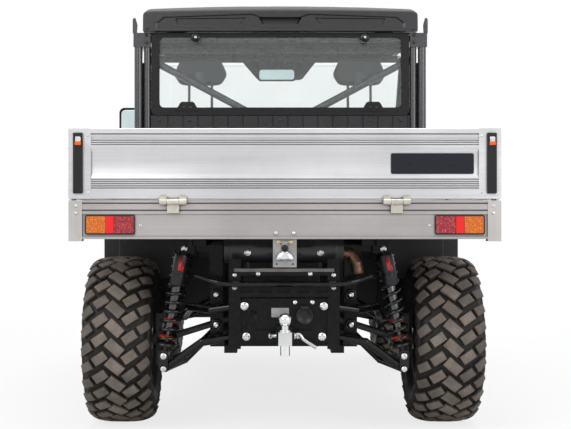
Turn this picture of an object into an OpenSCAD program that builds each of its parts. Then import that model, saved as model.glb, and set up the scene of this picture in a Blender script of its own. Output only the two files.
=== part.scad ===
// Side-by-side utility vehicle with an aluminium drop-side tray.
// Frame: origin on the floor under the middle of the vehicle, +Y forward, +X to its right, +Z up.

/* [Layout] */
// Distance between the front and rear axles
wheelbase = 2030; // [1900:10:2450]
// How far the middle of the wheelbase lies ahead of the origin
axle_shift = 35; // [0:5:60]
// Rear axle to the outer face of the tailgate
tail_overhang = 550; // [500:5:660]
// Front axle to the foremost point of the nose
nose_overhang = 480; // [460:5:580]

/* [Wheels] */
// Outside diameter of every tyre
tyre_d = 686; // [572:1:830]
// Width of a rear tyre
rear_tyre_w = 280; // [240:2:300]
// Width of a front tyre
front_tyre_w = 230; // [190:2:250]
// Distance from the middle of the vehicle to the outer face of each tyre
tyre_outer_x = 800; // [770:2:830]
// Diameter of the bead seat
rim_d = 356; // [320:2:380]
// Radius of every wheel spindle
spindle_r = 18; // [15:1:22]
// How far a front wheel's steering axis lies inside its tyre's inner face
kingpin_inset = 20; // [10:1:30]

/* [Tray] */
// Length from the headboard's front to the tailgate's outer face
tray_len = 1150; // [960:10:1180]
// Half width over the drop-sides
tray_half_w = 808; // [800:1:840]
// Height of the tailgate and drop-sides
panel_h = 261; // [215:1:320]
// Thickness of the tailgate and drop-sides
panel_t = 30; // [24:1:36]
// Gap between a swinging panel and what it closes against
panel_gap = 5; // [5:1:8]
// Deck height above the top of the rear tyres
deck_over_tyre = 228; // [215:1:270]
// Thickness of the deck plate
deck_t = 17; // [12:1:22]
// Height of the rear beam
beam_h = 144; // [120:1:150]
// Thickness of the rear beam
beam_t = 38; // [30:1:45]
// Distance from the tray's tipping axis to the tailgate's outer face
tip_overhang = 140; // [130:1:160]

/* [Chassis] */
// Height of the lower rails' underside below the axle line
rail_drop = 43; // [30:1:60]
// Height of the lower rails
rail_h = 70; // [50:1:80]
// Half width over the lower rails
rail_half_w = 230; // [210:1:250]
// Width of each rail
rail_w = 50; // [40:1:60]
// Half width over the upper rails
upper_half_w = 350; // [330:1:370]
// Radius of the suspension arm tubes
arm_r = 16; // [13:1:19]

/* [Cab] */
// Rear axle to the plane of the rear window
cab_from_axle = 650; // [630:5:700]
// Thickness of the cab floor and walls
wall_t = 20; // [12:1:24]
// Half width of the floor
floor_half_w = 640; // [600:1:650]
// Height of the roof rails' centre line above the floor's underside
cage_h = 1330; // [1250:10:1450]
// Half width to the centre line of the cage's outer tubes
cage_half_w = 674; // [664:1:684]
// Radius of the outer cage tubes
cage_r = 19.5; // [17:0.5:21]
// Radius of the inner rear posts
post_r = 16.5; // [14:0.5:18]
// Half width of the roof
roof_half_w = 648; // [600:1:660]
// Height of the roof shell
roof_h = 124; // [100:1:140]
// Thickness of the half doors
door_t = 35; // [25:1:45]
// Height of the half doors
door_h = 640; // [500:10:700]

/* [Nose] */
// Half width over the front fenders
nose_half_w = 790; // [760:2:800]
// Half width of the hood
hood_half_w = 350; // [320:2:360]
// Height of the cowl above the cab floor's underside
cowl_h = 750; // [700:5:800]

/* [Fits] */
// Radial running clearance of a shaft in its bore
run_clear = 0.05; // [0.02:0.01:0.1]
// Gap between pieces that are seated on each other
seat_gap = 0.3; // [0.2:0.1:0.6]
// Gap between a joint's faces beside its pin
pin_gap = 1; // [0.5:0.5:2]

/* [Hidden] */
$fn = 48;

// Heights that the rest hangs from
wheel_z = tyre_d / 2;
frame_z = wheel_z - rail_drop;
floor_z = frame_z + rail_h;
deck_z = tyre_d + deck_over_tyre;
upper_z = deck_z - 124;
cage_z = floor_z + cage_h;
cowl_z = floor_z + cowl_h;

// Places along the vehicle
rear_axle_y = axle_shift - wheelbase / 2;
front_axle_y = rear_axle_y + wheelbase;
tail_y = rear_axle_y - tail_overhang;
tray_front_y = tail_y + tray_len;
cab_y = rear_axle_y + cab_from_axle;
nose_y = front_axle_y + nose_overhang;
tip_y = tail_y + tip_overhang;
tip_z = upper_z + 10;
frame_tail_y = tip_y + 12;
arch_r = tyre_d / 2 + 87;
firewall_y = front_axle_y - arch_r;
door_front_y = firewall_y - 20;
door_rear_y = cab_y + 80;

// Places across the vehicle
rear_wheel_x = tyre_outer_x - rear_tyre_w / 2;
front_wheel_x = tyre_outer_x - front_tyre_w / 2;
kingpin_x = tyre_outer_x - front_tyre_w + kingpin_inset;

// A block between two opposite corners
module block(low, high) {
    translate(low) cube(high - low);
}

// A round bar from one point to another
module bar(start, end, r) {
    along = end - start;
    length = norm(along);
    translate(start)
        rotate([0, acos(along[2] / length), atan2(along[1], along[0])])
            cylinder(r = r, h = length);
}

// A round bar through a list of points, with slightly swelled ball corners
module bent_bar(points, r) {
    for (i = [0:len(points) - 2]) bar(points[i], points[i + 1], r);
    for (i = [1:len(points) - 2]) translate(points[i]) sphere(r = r + 0.6);
}

// Its children, and their mirror image on the other side of the vehicle
module both_sides() {
    children();
    mirror([1, 0, 0]) children();
}

// A side view outline (y, z) carried across from x0 to x1
module across(x0, x1) {
    translate([x0, 0, 0]) rotate([90, 0, 90]) linear_extrude(x1 - x0) children();
}

// A rear view outline (x, z) carried forward from y0 to y1
module forward(y0, y1) {
    translate([0, y1, 0]) rotate([90, 0, 0]) linear_extrude(y1 - y0) children();
}

// A rectangle between two corners with rounded corners
module round_rect(low, high, r) {
    translate(low + [r, 0]) square(high - low - [2 * r, 0]);
    translate(low + [0, r]) square(high - low - [0, 2 * r]);
    for (x = [low[0] + r, high[0] - r], y = [low[1] + r, high[1] - r])
        translate([x, y]) circle(r = r);
}

// A cylinder along X between x0 and x1 at a place in the side view
module x_rod(x0, x1, y, z, r) {
    translate([x0, y, z]) rotate([0, 90, 0]) cylinder(r = r, h = x1 - x0);
}

// A cylinder along Y between y0 and y1 at a place in the rear view
module y_rod(y0, y1, x, z, r) {
    translate([x, y0, z]) rotate([-90, 0, 0]) cylinder(r = r, h = y1 - y0);
}

// ---- Chassis ----

rear_pivots = [[145, -350, 50], [152, -350, 167]];
fore_pivots = [[261, 100, 52], [261, 100, 181]];
pivot_pin_r = 7;
bush_r = 20;
bush_len = 64;

// A bolt carried between two ear plates that stand on the frame; at is its middle
module pivot_bolt(at, ear_inner, ear_outer, ear_low, ear_high) {
    half = bush_len / 2 + pin_gap;
    y_rod(at[1] - half - 6, at[1] + half + 6, at[0], at[2], pivot_pin_r);
    for (y = [at[1] - half - 6, at[1] + half])
        block([ear_inner, y, ear_low], [ear_outer, y + 6, ear_high]);
}

// Lower and upper rails with their uprights, the slotted cross-member and the arm pivots
module chassis_frame() {
    kick_y = rear_axle_y + 160;
    color("#26282b") difference() {
        union() {
            both_sides() {
                block([rail_half_w - rail_w, kick_y, frame_z], [rail_half_w, firewall_y, floor_z]);
                block([rail_half_w - rail_w, tip_y + 140, frame_z + 40], [rail_half_w, kick_y + 1, floor_z]);
                block(
                    [rail_half_w - rail_w, frame_tail_y, frame_z + 30],
                    [rail_half_w, tip_y + 141, frame_z + 58]
                );
                block([upper_half_w - rail_w, tip_y + 30, upper_z - 50], [upper_half_w, cab_y - 60, upper_z]);
                block([240, tip_y + 140, floor_z - 1], [290, tip_y + 190, upper_z - 74]);
                block([240, tip_y + 140, upper_z - 75], [upper_half_w, tip_y + 190, upper_z - 49]);
                block([rail_half_w - 1, tip_y + 140, frame_z + 40], [290, tip_y + 190, floor_z]);
                block([240, cab_y - 120, floor_z - 1], [290, cab_y - 70, upper_z - 74]);
                block([240, cab_y - 120, upper_z - 75], [upper_half_w, cab_y - 70, upper_z - 49]);
                block([rail_half_w - 1, cab_y - 120, frame_z], [290, cab_y - 70, floor_z]);
                block([166, frame_tail_y, frame_z + 45], [213, frame_tail_y + 14, upper_z - 100]);
                block([110, firewall_y - 60, frame_z], [150, front_axle_y + 330, frame_z + 50]);
                difference() {
                    block([110, front_axle_y - 45, frame_z + 49], [150, front_axle_y + 45, upper_z - 20]);
                    x_rod(109, 151, front_axle_y, wheel_z + 57, 36);
                }
                block([149, front_axle_y - 45, upper_z - 60], [310, front_axle_y + 45, upper_z - 12]);
                block([149, front_axle_y - 45, upper_z - 20], [310, front_axle_y + 106, upper_z - 12]);
                for (p = rear_pivots)
                    pivot_bolt([p[0], rear_axle_y + p[1], wheel_z + p[2]], p[0] - 24, p[0] + 24,
                        wheel_z + 26, wheel_z + p[2] + 24);
                for (p = fore_pivots)
                    pivot_bolt([p[0], rear_axle_y + p[1], wheel_z + p[2]], rail_half_w - 1, p[0] + 13,
                        frame_z + 41, wheel_z + p[2] + 24);
                for (p = front_pivots) {
                    y_rod(front_axle_y - 95, front_axle_y + 95, p[0], wheel_z + p[1], pivot_pin_r);
                    block([149, front_axle_y - 45, wheel_z + p[1] - 20],
                        [p[0] + 18, front_axle_y + 45, wheel_z + p[1] + 20]);
                }
                block(
                    [upper_half_w + 2, tip_y - 22, upper_z - 50],
                    [upper_half_w + 14, tip_y + 60, tip_z + 22]
                );
                block([upper_half_w - 1, tip_y + 30, upper_z - 50], [upper_half_w + 3, tip_y + 60, upper_z]);
                x_rod(tray_rail_x - 5, upper_half_w + 8, tip_y, tip_z, tip_pin_r);
                shock_ears(rear_shock, rear_axle_y, 1);
                shock_ears(front_shock, front_axle_y, 1);
            }
            slotted_cross_member();
            block([-167, frame_tail_y, floor_z + 1], [167, frame_tail_y + 14, floor_z + 20]);
            block([-192, frame_tail_y, upper_z - 163], [192, frame_tail_y + 110, upper_z - 160]);
            block([-192, frame_tail_y, upper_z - 163], [192, frame_tail_y + 3, upper_z - 136]);
            for (y = [firewall_y - 60, front_axle_y + 290, cab_y + 200, cab_y - 120])
                block(
                    [-rail_half_w + rail_w - 1, y, frame_z],
                    [rail_half_w - rail_w + 1, y + 40, frame_z + 45]
                );
            block(
                [-rail_half_w + rail_w - 1, tip_y + 140, frame_z + 41],
                [rail_half_w - rail_w + 1, tip_y + 180, floor_z - 1]
            );
            block([-111, front_axle_y - 20, frame_z], [111, front_axle_y + 20, frame_z + 50]);
            rack_housing();
        }
        x_rod(-152, 152, rack_y, rack_z, rack_r + run_clear);
    }
}

// The cross-member above the bulkhead with its row of long slots
module slotted_cross_member() {
    difference() {
        block([-213, frame_tail_y - 3, upper_z - 245], [213, frame_tail_y + 14, upper_z - 200]);
        for (i = [-2:2])
            block(
                [i * 72 - 24, frame_tail_y - 4, upper_z - 228],
                [i * 72 + 24, frame_tail_y + 8, upper_z - 216]
            );
    }
}

// Plate behind the final drive with its cut-outs and the round trailer socket
module rear_bulkhead() {
    color("#1e2023") difference() {
        union() {
            block([-161, frame_tail_y - 5, wheel_z + 35], [161, frame_tail_y - seat_gap, wheel_z + 196]);
            y_rod(frame_tail_y - 30, frame_tail_y - 4, 77, wheel_z + 131, 32);
        }
        both_sides() y_rod(frame_tail_y - 6, frame_tail_y, 176, wheel_z + 116, 42);
        block([-128, frame_tail_y - 6, wheel_z + 92], [-100, frame_tail_y, wheel_z + 150]);
        block([-62, frame_tail_y - 6, wheel_z + 98], [18, frame_tail_y - 3, wheel_z + 160]);
    }
}

// The engine stands in for everything closed in under the tray
module engine() {
    color("#3a3c3f") block([-165, cab_y - 470, frame_z + 45 + seat_gap], [165, cab_y - 100, frame_z + 380]);
}

// Final drive cases on both axles
module final_drives() {
    color("#5c5e60") {
        block([-90, rear_axle_y - 110, wheel_z + 30], [90, cab_y - 470 - seat_gap, wheel_z + 170]);
        both_sides() x_rod(89, 125, rear_axle_y, wheel_z + 112, 48);
        block([-85, front_axle_y - 75, frame_z + 50 + seat_gap], [85, front_axle_y + 75, wheel_z + 110]);
        both_sides() x_rod(84, 107, front_axle_y, wheel_z + 57, 38);
    }
}

// Silencer across the tail with its pipe turning down on the right
module muffler() {
    y = tip_y + 105;
    z = upper_z - 60;
    color("#1b1c1e") {
        x_rod(-232, 232, y, z, 58);
        both_sides() translate([141, y - 15, upper_z - 160 + seat_gap]) cylinder(r = 9, h = 70);
    }
    color("#5a4a40") bent_bar([
        [200, y, z - 10], [262, y, z - 22],
        [286, y - 10, z - 60], [292, y - 14, z - 100]
    ], 20);
}

// ---- Suspension ----

// Outer end of the arms, inner side of the knuckles
rear_hub_x = rear_wheel_x - 115;
rear_arm_x = rear_hub_x - 75;
front_pivots = [[175, -15], [195, 127]];
ball_low = -84;
ball_high = 85;
// Coil-over ends as [top x, top z below the upper rails, foot x, foot z from the axle, y from the axle]
rear_shock = [389, -62, 472, -36, -282];
front_shock = [285, -40, 425, 96, 78];
shock_eye_r = 16;
spring_r = 45;

function shock_top(s, axle_y) = [s[0], axle_y + s[4], upper_z + s[1]];
function shock_foot(s, axle_y) = [s[2], axle_y + s[4], wheel_z + s[3]];

// The frame's ears and bolt for the top eye of a coil-over
module shock_ears(s, axle_y, side) {
    top = shock_top(s, axle_y);
    reach = upper_half_w - 1;
    for (y = [top[1] - 26, top[1] + 20])
        block([min(s[0] - 20, reach), y, top[2] - 20], [s[0] + 20, y + 6, top[2] + 24]);
    y_rod(top[1] - 26, top[1] + 26, top[0], top[2], pivot_pin_r);
    block([min(s[0] - 20, reach - 30), top[1] - 26, top[2] + 20], [s[0] + 20, top[1] + 26, top[2] + 28]);
}

// An arm's eye for a bolt along Y
module eye(at, length, r) {
    y_rod(at[1] - length / 2, at[1] + length / 2, at[0], at[2], r);
}

module eye_hole(at, length) {
    y_rod(at[1] - length / 2 - 1, at[1] + length / 2 + 1, at[0], at[2], pivot_pin_r + seat_gap);
}

// One rear wishbone: a bent rear leg and a straight fore leg that meet in a stub with a bush
module wishbone(rear_leg, fore_leg, end) {
    meet = end - [62, 0, 0];
    difference() {
        union() {
            bent_bar(concat(rear_leg, [meet, end]), arm_r);
            bar(fore_leg, meet, arm_r);
            eye(rear_leg[0], bush_len, bush_r);
            eye(fore_leg, bush_len, bush_r);
            eye(end, 40, bush_r);
        }
        eye_hole(rear_leg[0], bush_len);
        eye_hole(fore_leg, bush_len);
        eye_hole(end, 40);
    }
}

function rear_point(p) = [p[0], rear_axle_y + p[1], wheel_z + p[2]];

// Rear wishbones; the lower pair carries the coil-overs' feet
module rear_arms() {
    low_end = rear_point([rear_arm_x, 0, -88]);
    foot = shock_foot(rear_shock, rear_axle_y);
    color("#222426") both_sides() {
        wishbone([rear_point(rear_pivots[0]), rear_point([318, -338, 22]), foot - [6, 0, 50]],
            rear_point(fore_pivots[0]), low_end);
        for (y = [foot[1] - 26, foot[1] + 20])
            block([foot[0] - 18, y, foot[2] - 50], [foot[0] + 18, y + 6, foot[2] + 14]);
        y_rod(foot[1] - 26, foot[1] + 26, foot[0], foot[2], pivot_pin_r);
        wishbone([rear_point(rear_pivots[1]), rear_point([283, -320, 146]), rear_point([372, -210, 150])],
            rear_point(fore_pivots[1]), rear_point([rear_arm_x, 0, 92]));
    }
}

// Rear uprights: the pins that the wishbones hold, and the spindle that the wheel turns on
module rear_knuckles() {
    color("#77797b") both_sides() {
        for (z = [wheel_z - 88, wheel_z + 92]) {
            y_rod(rear_axle_y - 32, rear_axle_y + 32, rear_arm_x, z, pivot_pin_r);
            for (y = [rear_axle_y - 32, rear_axle_y + 21])
                block([rear_arm_x - 16, y, z - 16], [rear_hub_x - 20, y + 11, z + 16]);
        }
        block(
            [rear_hub_x - 45, rear_axle_y - 42, wheel_z - 104],
            [rear_hub_x - 20, rear_axle_y + 42, wheel_z + 108]
        );
        x_rod(rear_hub_x - 21, rear_hub_x - panel_gap, rear_axle_y, wheel_z, 42);
        x_rod(rear_hub_x - 20, rear_hub_x + 110, rear_axle_y, wheel_z, spindle_r);
    }
}

// Front wishbones, each from two bushes on one bolt to a ball joint's housing
module front_arms() {
    color("#222426") both_sides() difference() {
        union() for (i = [0, 1]) {
            z = wheel_z + front_pivots[i][1];
            ball_z = wheel_z + (i == 0 ? ball_low - 19 : ball_high + 19);
            for (side = [-1, 1]) {
                y = front_axle_y + side * 68;
                bar([front_pivots[i][0], y, z], [kingpin_x, front_axle_y, ball_z], arm_r - 3);
                y_rod(y - 21, y + 21, front_pivots[i][0], z, bush_r);
            }
            translate([kingpin_x, front_axle_y, ball_z - 18]) cylinder(r = 24, h = 36);
        }
        for (i = [0, 1]) {
            z = wheel_z + front_pivots[i][1];
            y_rod(front_axle_y - 100, front_axle_y + 100, front_pivots[i][0], z, pivot_pin_r + seat_gap);
        }
        translate([kingpin_x, front_axle_y, wheel_z + ball_low - 32]) cylinder(r = 8 + run_clear, h = 40);
        translate([kingpin_x, front_axle_y, wheel_z + ball_high - 8]) cylinder(r = 8 + run_clear, h = 40);
    }
    foot = shock_foot(front_shock, front_axle_y);
    color("#222426") both_sides() {
        for (y = [foot[1] - 26, foot[1] + 20])
            block([foot[0] - 16, y, foot[2] - 26], [foot[0] + 16, y + 6, foot[2] + 14]);
        block([foot[0] - 16, foot[1] - 60, foot[2] - 32], [foot[0] + 16, foot[1] + 26, foot[2] - 26]);
        y_rod(foot[1] - 26, foot[1] + 26, foot[0], foot[2], pivot_pin_r);
    }
}

// One coil-over: eyes, damper, spring sleeve and its seats
module coil_over(s, axle_y) {
    top = shock_top(s, axle_y);
    foot = shock_foot(s, axle_y);
    run = (top - foot) / norm(top - foot);
    length = norm(top - foot);
    difference() {
        union() {
            bar(foot, top, 14);
            bar(foot + run * 52, foot + run * 66, spring_r);
            bar(foot + run * 66, foot + run * (length * 0.62), spring_r - 4);
            bar(foot + run * (length * 0.62), top - run * 44, 33);
            eye(foot, 38, shock_eye_r);
            eye(top, 38, shock_eye_r);
        }
        eye_hole(foot, 38);
        eye_hole(top, 38);
    }
}

// The four coil-overs
module coil_overs() {
    color("#17181a") both_sides() {
        coil_over(rear_shock, rear_axle_y);
        coil_over(front_shock, front_axle_y);
    }
}

// Drive shafts from the final drives to the wheels, with a joint at each end
module half_shafts() {
    color("#3b3d3f") both_sides() {
        rear_in = [125 + seat_gap, rear_axle_y, wheel_z + 112];
        rear_out = [rear_hub_x - 80, rear_axle_y, wheel_z + 8];
        bar(rear_in + [50, 0, -14], rear_out, 14);
        x_rod(rear_in[0], rear_in[0] + 60, rear_axle_y, rear_in[2], 38);
        x_rod(rear_out[0] - 20, rear_hub_x - 45 - seat_gap, rear_axle_y, wheel_z, 34);
        front_in = [107 + seat_gap, front_axle_y, wheel_z + 57];
        x_rod(front_in[0], front_in[0] + 40, front_axle_y, front_in[2], 30);
        bar(front_in + [38, 0, -2], [kingpin_x - 60, front_axle_y, wheel_z], 12);
        x_rod(kingpin_x - 85, kingpin_x - 30, front_axle_y, wheel_z, 24);
    }
}

// Anti-roll bar behind the slotted cross-member, its ends curling up to the links
module sway_bar() {
    z = upper_z - 195;
    y = frame_tail_y - 16;
    color("#1b1c1e") {
        x_rod(-205, 205, y, z, 11);
        both_sides() {
            bent_bar([[200, y, z], [262, y + 4, z + 8], [322, y + 40, z + 26], [356, y + 66, z + 30]], 11);
            block(
                [172, frame_tail_y - 3 - seat_gap - 12, z - 13],
                [198, frame_tail_y - 3 - seat_gap, z + 13]
            );
        }
    }
}

// ---- Steering ----

rack_y = front_axle_y - 130;
rack_z = wheel_z - 17;
rack_r = 11;

// Tube on the front rails that the rack slides in
module rack_housing() {
    x_rod(-151, 151, rack_y, rack_z, 20);
    block([-151, rack_y - 8, frame_z], [151, rack_y + 8, rack_z]);
}

// The rack with both tie rods and their end eyes
module steering_rack() {
    color("#8a8c8e") {
        x_rod(-240, 240, rack_y, rack_z, rack_r);
        both_sides() {
            x_rod(239, kingpin_x - 15, rack_y, rack_z, 9);
            translate([kingpin_x - 15, rack_y, rack_z - 8]) cylinder(r = 15, h = 16);
        }
    }
}

// A steered upright with its ball pins, steering arm and spindle
module front_knuckle() {
    color("#77797b") {
        translate([kingpin_x, front_axle_y, wheel_z + ball_low]) cylinder(r = 22, h = ball_high - ball_low);
        translate([kingpin_x, front_axle_y, wheel_z + ball_low - 28])
            cylinder(r = 8, h = ball_high - ball_low + 56);
        hull() {
            translate([kingpin_x, front_axle_y, rack_z - 26]) cylinder(r = 16, h = 14, $fn = 32);
            translate([kingpin_x - 15, rack_y, rack_z - 26]) cylinder(r = 15, h = 14, $fn = 32);
        }
        x_rod(kingpin_x, kingpin_x + 33, front_axle_y, wheel_z, 38);
        x_rod(kingpin_x, kingpin_x + 38 + 70, front_axle_y, wheel_z, spindle_r);
    }
}

module front_right_knuckle() front_knuckle();
module front_left_knuckle() mirror([1, 0, 0]) front_knuckle();

// Column and steering wheel share this axis, which points at the driver
column_tilt = 55;
wheel_at = [-340, cab_y + 640, floor_z + 745];

module steering_wheel() {
    color("#161719") translate(wheel_at) rotate([column_tilt, 0, 0]) {
        rotate_extrude() translate([172, 0]) circle(r = 14);
        for (turn = [90, 210, 330]) rotate([0, 0, turn]) block([30, -14, -6], [168, 14, 4]);
        translate([0, 0, -22]) cylinder(r = 42, h = 32);
        translate([0, 0, -150]) cylinder(r = 13, h = 140);
    }
}

// ---- Wheels ----

bead_r = rim_d / 2;
flange = 12;
rear_rim_w = rear_tyre_w - 80;
front_rim_w = front_tyre_w - 65;

// Balloon tyre: bead, bulging sidewall, shoulder and a low crown
module tyre(w, rim_w) {
    half = w / 2;
    seat = rim_w / 2 - flange - seat_gap;
    outer = tyre_d / 2;
    wall = outer - bead_r;
    right_side = [
        [bead_r, seat], [bead_r + 16, seat + 2], [bead_r + wall * 0.22, half - 14],
        [bead_r + wall * 0.42, half - 2], [bead_r + wall * 0.56, half], [bead_r + wall * 0.72, half - 2],
        [outer - 30, half - 8], [outer - 16, half - 22], [outer - 6, half - 50], [outer, half - 92]
    ];
    left_side = [for (i = [len(right_side) - 1:-1:0]) [right_side[i][0], -right_side[i][1]]];
    rotate([0, 90, 0]) rotate_extrude($fn = 96) polygon(concat(right_side, left_side));
}

// Rim: barrel with flanges, a pierced disc and the hub, which starts at hub_from
module rim(rim_w, hub_from) {
    half = rim_w / 2;
    seat = bead_r - seat_gap;
    disc = half - 50;
    hub_end = disc + 34;
    rotate([0, 90, 0]) difference() {
        union() {
            rotate_extrude($fn = 96) polygon([
                [seat - 12, -half], [bead_r + 14, -half], [bead_r + 14, -half + flange - 4],
                [seat, -half + flange - 4], [seat, half - flange + 4], [bead_r + 14, half - flange + 4],
                [bead_r + 14, half], [seat - 12, half]
            ]);
            translate([0, 0, disc]) cylinder(r = seat - 6, h = 10);
            translate([0, 0, hub_from]) cylinder(r = 45, h = hub_end - hub_from);
        }
        translate([0, 0, hub_from - 1]) cylinder(r = spindle_r + run_clear, h = hub_end - hub_from - 20);
        for (i = [0:7]) rotate([0, 0, i * 45]) translate([seat - 50, 0, disc - 1]) cylinder(r = 22, h = 12);
    }
}

module at_rear_wheel() translate([rear_wheel_x, rear_axle_y, wheel_z]) children();
module at_front_wheel() translate([front_wheel_x, front_axle_y, wheel_z]) children();

module rear_right_tyre() color("#1c1b1a") at_rear_wheel() tyre(rear_tyre_w, rear_rim_w);
module rear_left_tyre() mirror([1, 0, 0]) rear_right_tyre();
module front_right_tyre() color("#1c1b1a") at_front_wheel() tyre(front_tyre_w, front_rim_w);
module front_left_tyre() mirror([1, 0, 0]) front_right_tyre();
module rear_right_rim() color("#2a2b2d") at_rear_wheel() rim(rear_rim_w, rear_hub_x - rear_wheel_x);
module rear_left_rim() mirror([1, 0, 0]) rear_right_rim();
module front_right_rim() color("#2a2b2d") at_front_wheel() rim(front_rim_w, kingpin_x + 38 - front_wheel_x);
module front_left_rim() mirror([1, 0, 0]) front_right_rim();

// ---- Tray ----

tray_rail_x = 305;
tray_rail_w = 40;
tip_pin_r = 10;
panel_z = deck_z + panel_gap;
side_inner_x = tray_half_w - panel_t + 2;
beam_y = tail_y + 2;
beam_front_y = beam_y + beam_t;
deck_half_w = side_inner_x - panel_gap;
hinge_z = deck_z - 6;
gate_hinge_y = tail_y - 14;
side_hinge_x = tray_half_w + 4;
gate_barrel_r = 12;
side_barrel_r = 8;

// Deck plate on its bearers and rails; the rails' bosses take the tipping pins
module tray_deck() {
    color("#b9bbbd") {
        block([-deck_half_w, beam_front_y + seat_gap, deck_z - deck_t],
            [deck_half_w, tray_front_y - panel_t - 2, deck_z]);
        for (i = [0:4]) {
            y = beam_front_y + 20 + i * (tray_len - 130) / 4;
            block([-deck_half_w, y, deck_z - deck_t - 22], [deck_half_w, y + 40, deck_z - deck_t]);
        }
        block([-deck_half_w, tray_front_y - 62, deck_z - deck_t - 22],
            [deck_half_w, tray_front_y - 3, deck_z - deck_t]);
        both_sides() {
            block([deck_half_w - 30, beam_front_y + seat_gap, deck_z - 64],
                [tray_half_w - 6, tray_front_y, deck_z - deck_t - 2]);
            block(
                [deck_half_w, beam_front_y + seat_gap, deck_z - 64],
                [tray_half_w - 6, tray_front_y, deck_z - 1]
            );
            difference() {
                block([tray_rail_x, beam_front_y + seat_gap, upper_z + 5],
                    [tray_rail_x + tray_rail_w, tray_front_y - 3, deck_z - deck_t - 20]);
                x_rod(tray_rail_x - 1, tray_rail_x + tray_rail_w + 1, tip_y, tip_z, tip_pin_r + run_clear);
            }
            difference() {
                x_rod(tray_rail_x, tray_rail_x + tray_rail_w, tip_y, tip_z, 20);
                x_rod(tray_rail_x - 1, tray_rail_x + tray_rail_w + 1, tip_y, tip_z, tip_pin_r + run_clear);
            }
            side_hinges(true);
        }
    }
}

// Hinges along a drop-side: fixed middle knuckles with the pin, or the panel's outer knuckles
module side_hinges(fixed) {
    for (share = [0.14, 0.5, 0.86]) {
        y = tail_y + tray_len * share;
        if (fixed) {
            y_rod(y - 20, y + 20, side_hinge_x, hinge_z, side_barrel_r);
            y_rod(y - 44, y + 44, side_hinge_x, hinge_z, 4);
            block([tray_half_w - 10, y - 20, hinge_z - 36], [side_hinge_x - 1, y + 20, hinge_z]);
        } else difference() {
            union() for (low = [y - 45, y + 20 + pin_gap]) {
                y_rod(low, low + 24, side_hinge_x, hinge_z, side_barrel_r);
                block([tray_half_w - 3, low, hinge_z], [side_hinge_x + 4, low + 24, hinge_z + 36]);
            }
            y_rod(y - 50, y + 50, side_hinge_x, hinge_z, 4 + run_clear);
        }
    }
}

// Ribbed rear beam with its corner caps and the fixed half of the tailgate's hinges
module rear_beam() {
    half = 751;
    low = deck_z - beam_h;
    color("#8f9092") {
        difference() {
            block([-half, beam_y, low], [half, beam_front_y, deck_z]);
            block([-half - 1, beam_y - 1, low + 9], [half + 1, beam_y + 5, deck_z - 52]);
            for (z = [deck_z - 14, deck_z - 40])
                block([-half - 1, beam_y - 1, z], [half + 1, beam_y + 9, z + 5]);
        }
        both_sides() {
            difference() {
                block([half, beam_y - 2, low - 8], [side_inner_x + 21, beam_front_y, deck_z - 1]);
                block([half + 8, beam_y + 4, low - 9], [side_inner_x + 15, beam_front_y + 1, deck_z - 80]);
            }
            gate_hinge(413, true);
        }
    }
}

// A tailgate hinge: the beam's middle knuckle with the pin, or the gate's outer knuckles
module gate_hinge(x, fixed) {
    if (fixed) {
        x_rod(x - 22, x + 22, gate_hinge_y, hinge_z, gate_barrel_r);
        x_rod(x - 48, x + 48, gate_hinge_y, hinge_z, 5);
        block([x - 22, gate_hinge_y, hinge_z - 42], [x + 22, beam_y + 6, hinge_z - 2]);
    } else difference() {
        union() for (low = [x - 50, x + 22 + pin_gap]) {
            x_rod(low, low + 27, gate_hinge_y, hinge_z, gate_barrel_r);
            block([low, gate_hinge_y - 6, hinge_z], [low + 27, tail_y + 1, panel_z + 9]);
            block([low, gate_hinge_y - 6, panel_z + 2], [low + 27, tail_y + 4, panel_z + 9]);
        }
        x_rod(x - 60, x + 60, gate_hinge_y, hinge_z, 5 + run_clear);
    }
}

// Low board across the front of the tray
module headboard() {
    color("#b9bbbd") block([-deck_half_w, tray_front_y - panel_t - 1, deck_z - deck_t],
        [deck_half_w, tray_front_y - 3, deck_z + panel_h + 4]);
}

// Two lamp units let into the beam's recess
module tail_lamps() {
    color("#8f1512") both_sides()
        block([556, beam_y - 6, deck_z - 127], [740, beam_y + 5, deck_z - 55]);
}

// Plate below the beam for the number plate and its lamp
module plate_bracket() {
    low = deck_z - beam_h - 105;
    y = beam_y + 8;
    color("#a7a9ab") difference() {
        union() {
            block([-44, y, low], [44, y + 3, deck_z - beam_h]);
            block([-44, y, deck_z - beam_h - 3], [44, y + 28, deck_z - beam_h]);
            y_rod(y - 16, y + 1, 0, low + 42, 16);
        }
        for (x = [-30, 30]) y_rod(y - 1, y + 4, x, low + 12, 3.5);
    }
}

// A row of shallow ribs between two heights, as [depth behind the outer face, height]
function rib_row(low, high, count) = [
    for (i = [0:count - 1], p = [[0, 0], [0, 0.45], [4, 0.6], [4, 0.85]])
        [p[0], low + (i + p[1]) * (high - low) / count]
];

// Outer face of a tray panel from its foot to its top, with a recessed band across the middle
panel_face = concat(
    [[2, 0], [0, 3]], rib_row(34, 74, 5), [[0, 75], [9, 93], [9, panel_h - 91], [0, panel_h - 74]],
    rib_row(panel_h - 66, panel_h - 34, 4), [[0, panel_h - 24], [4, panel_h - 22], [4, panel_h - 20]],
    [[0, panel_h - 18], [0, panel_h - 2], [2, panel_h]]
);

// Extruded tailgate with end caps and the moving half of its hinges
module tailgate() {
    half = 801;
    skin = 718;
    color("#c3c5c7") {
        across(-skin, skin) polygon(concat(
            [for (p = panel_face) [tail_y + p[0], panel_z + p[1]]],
            [[tail_y + panel_t, panel_z + panel_h], [tail_y + panel_t, panel_z]]
        ));
        both_sides() {
            block([skin, tail_y, panel_z], [half, tail_y + panel_t, panel_z + panel_h]);
            gate_hinge(413, false);
        }
    }
}

// Over-centre latches at both ends of the tailgate
module tailgate_latches() {
    color("#17181a") both_sides()
        block([748, tail_y - 10, panel_z + 20], [783, tail_y, panel_z + panel_h - 17]);
}

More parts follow.
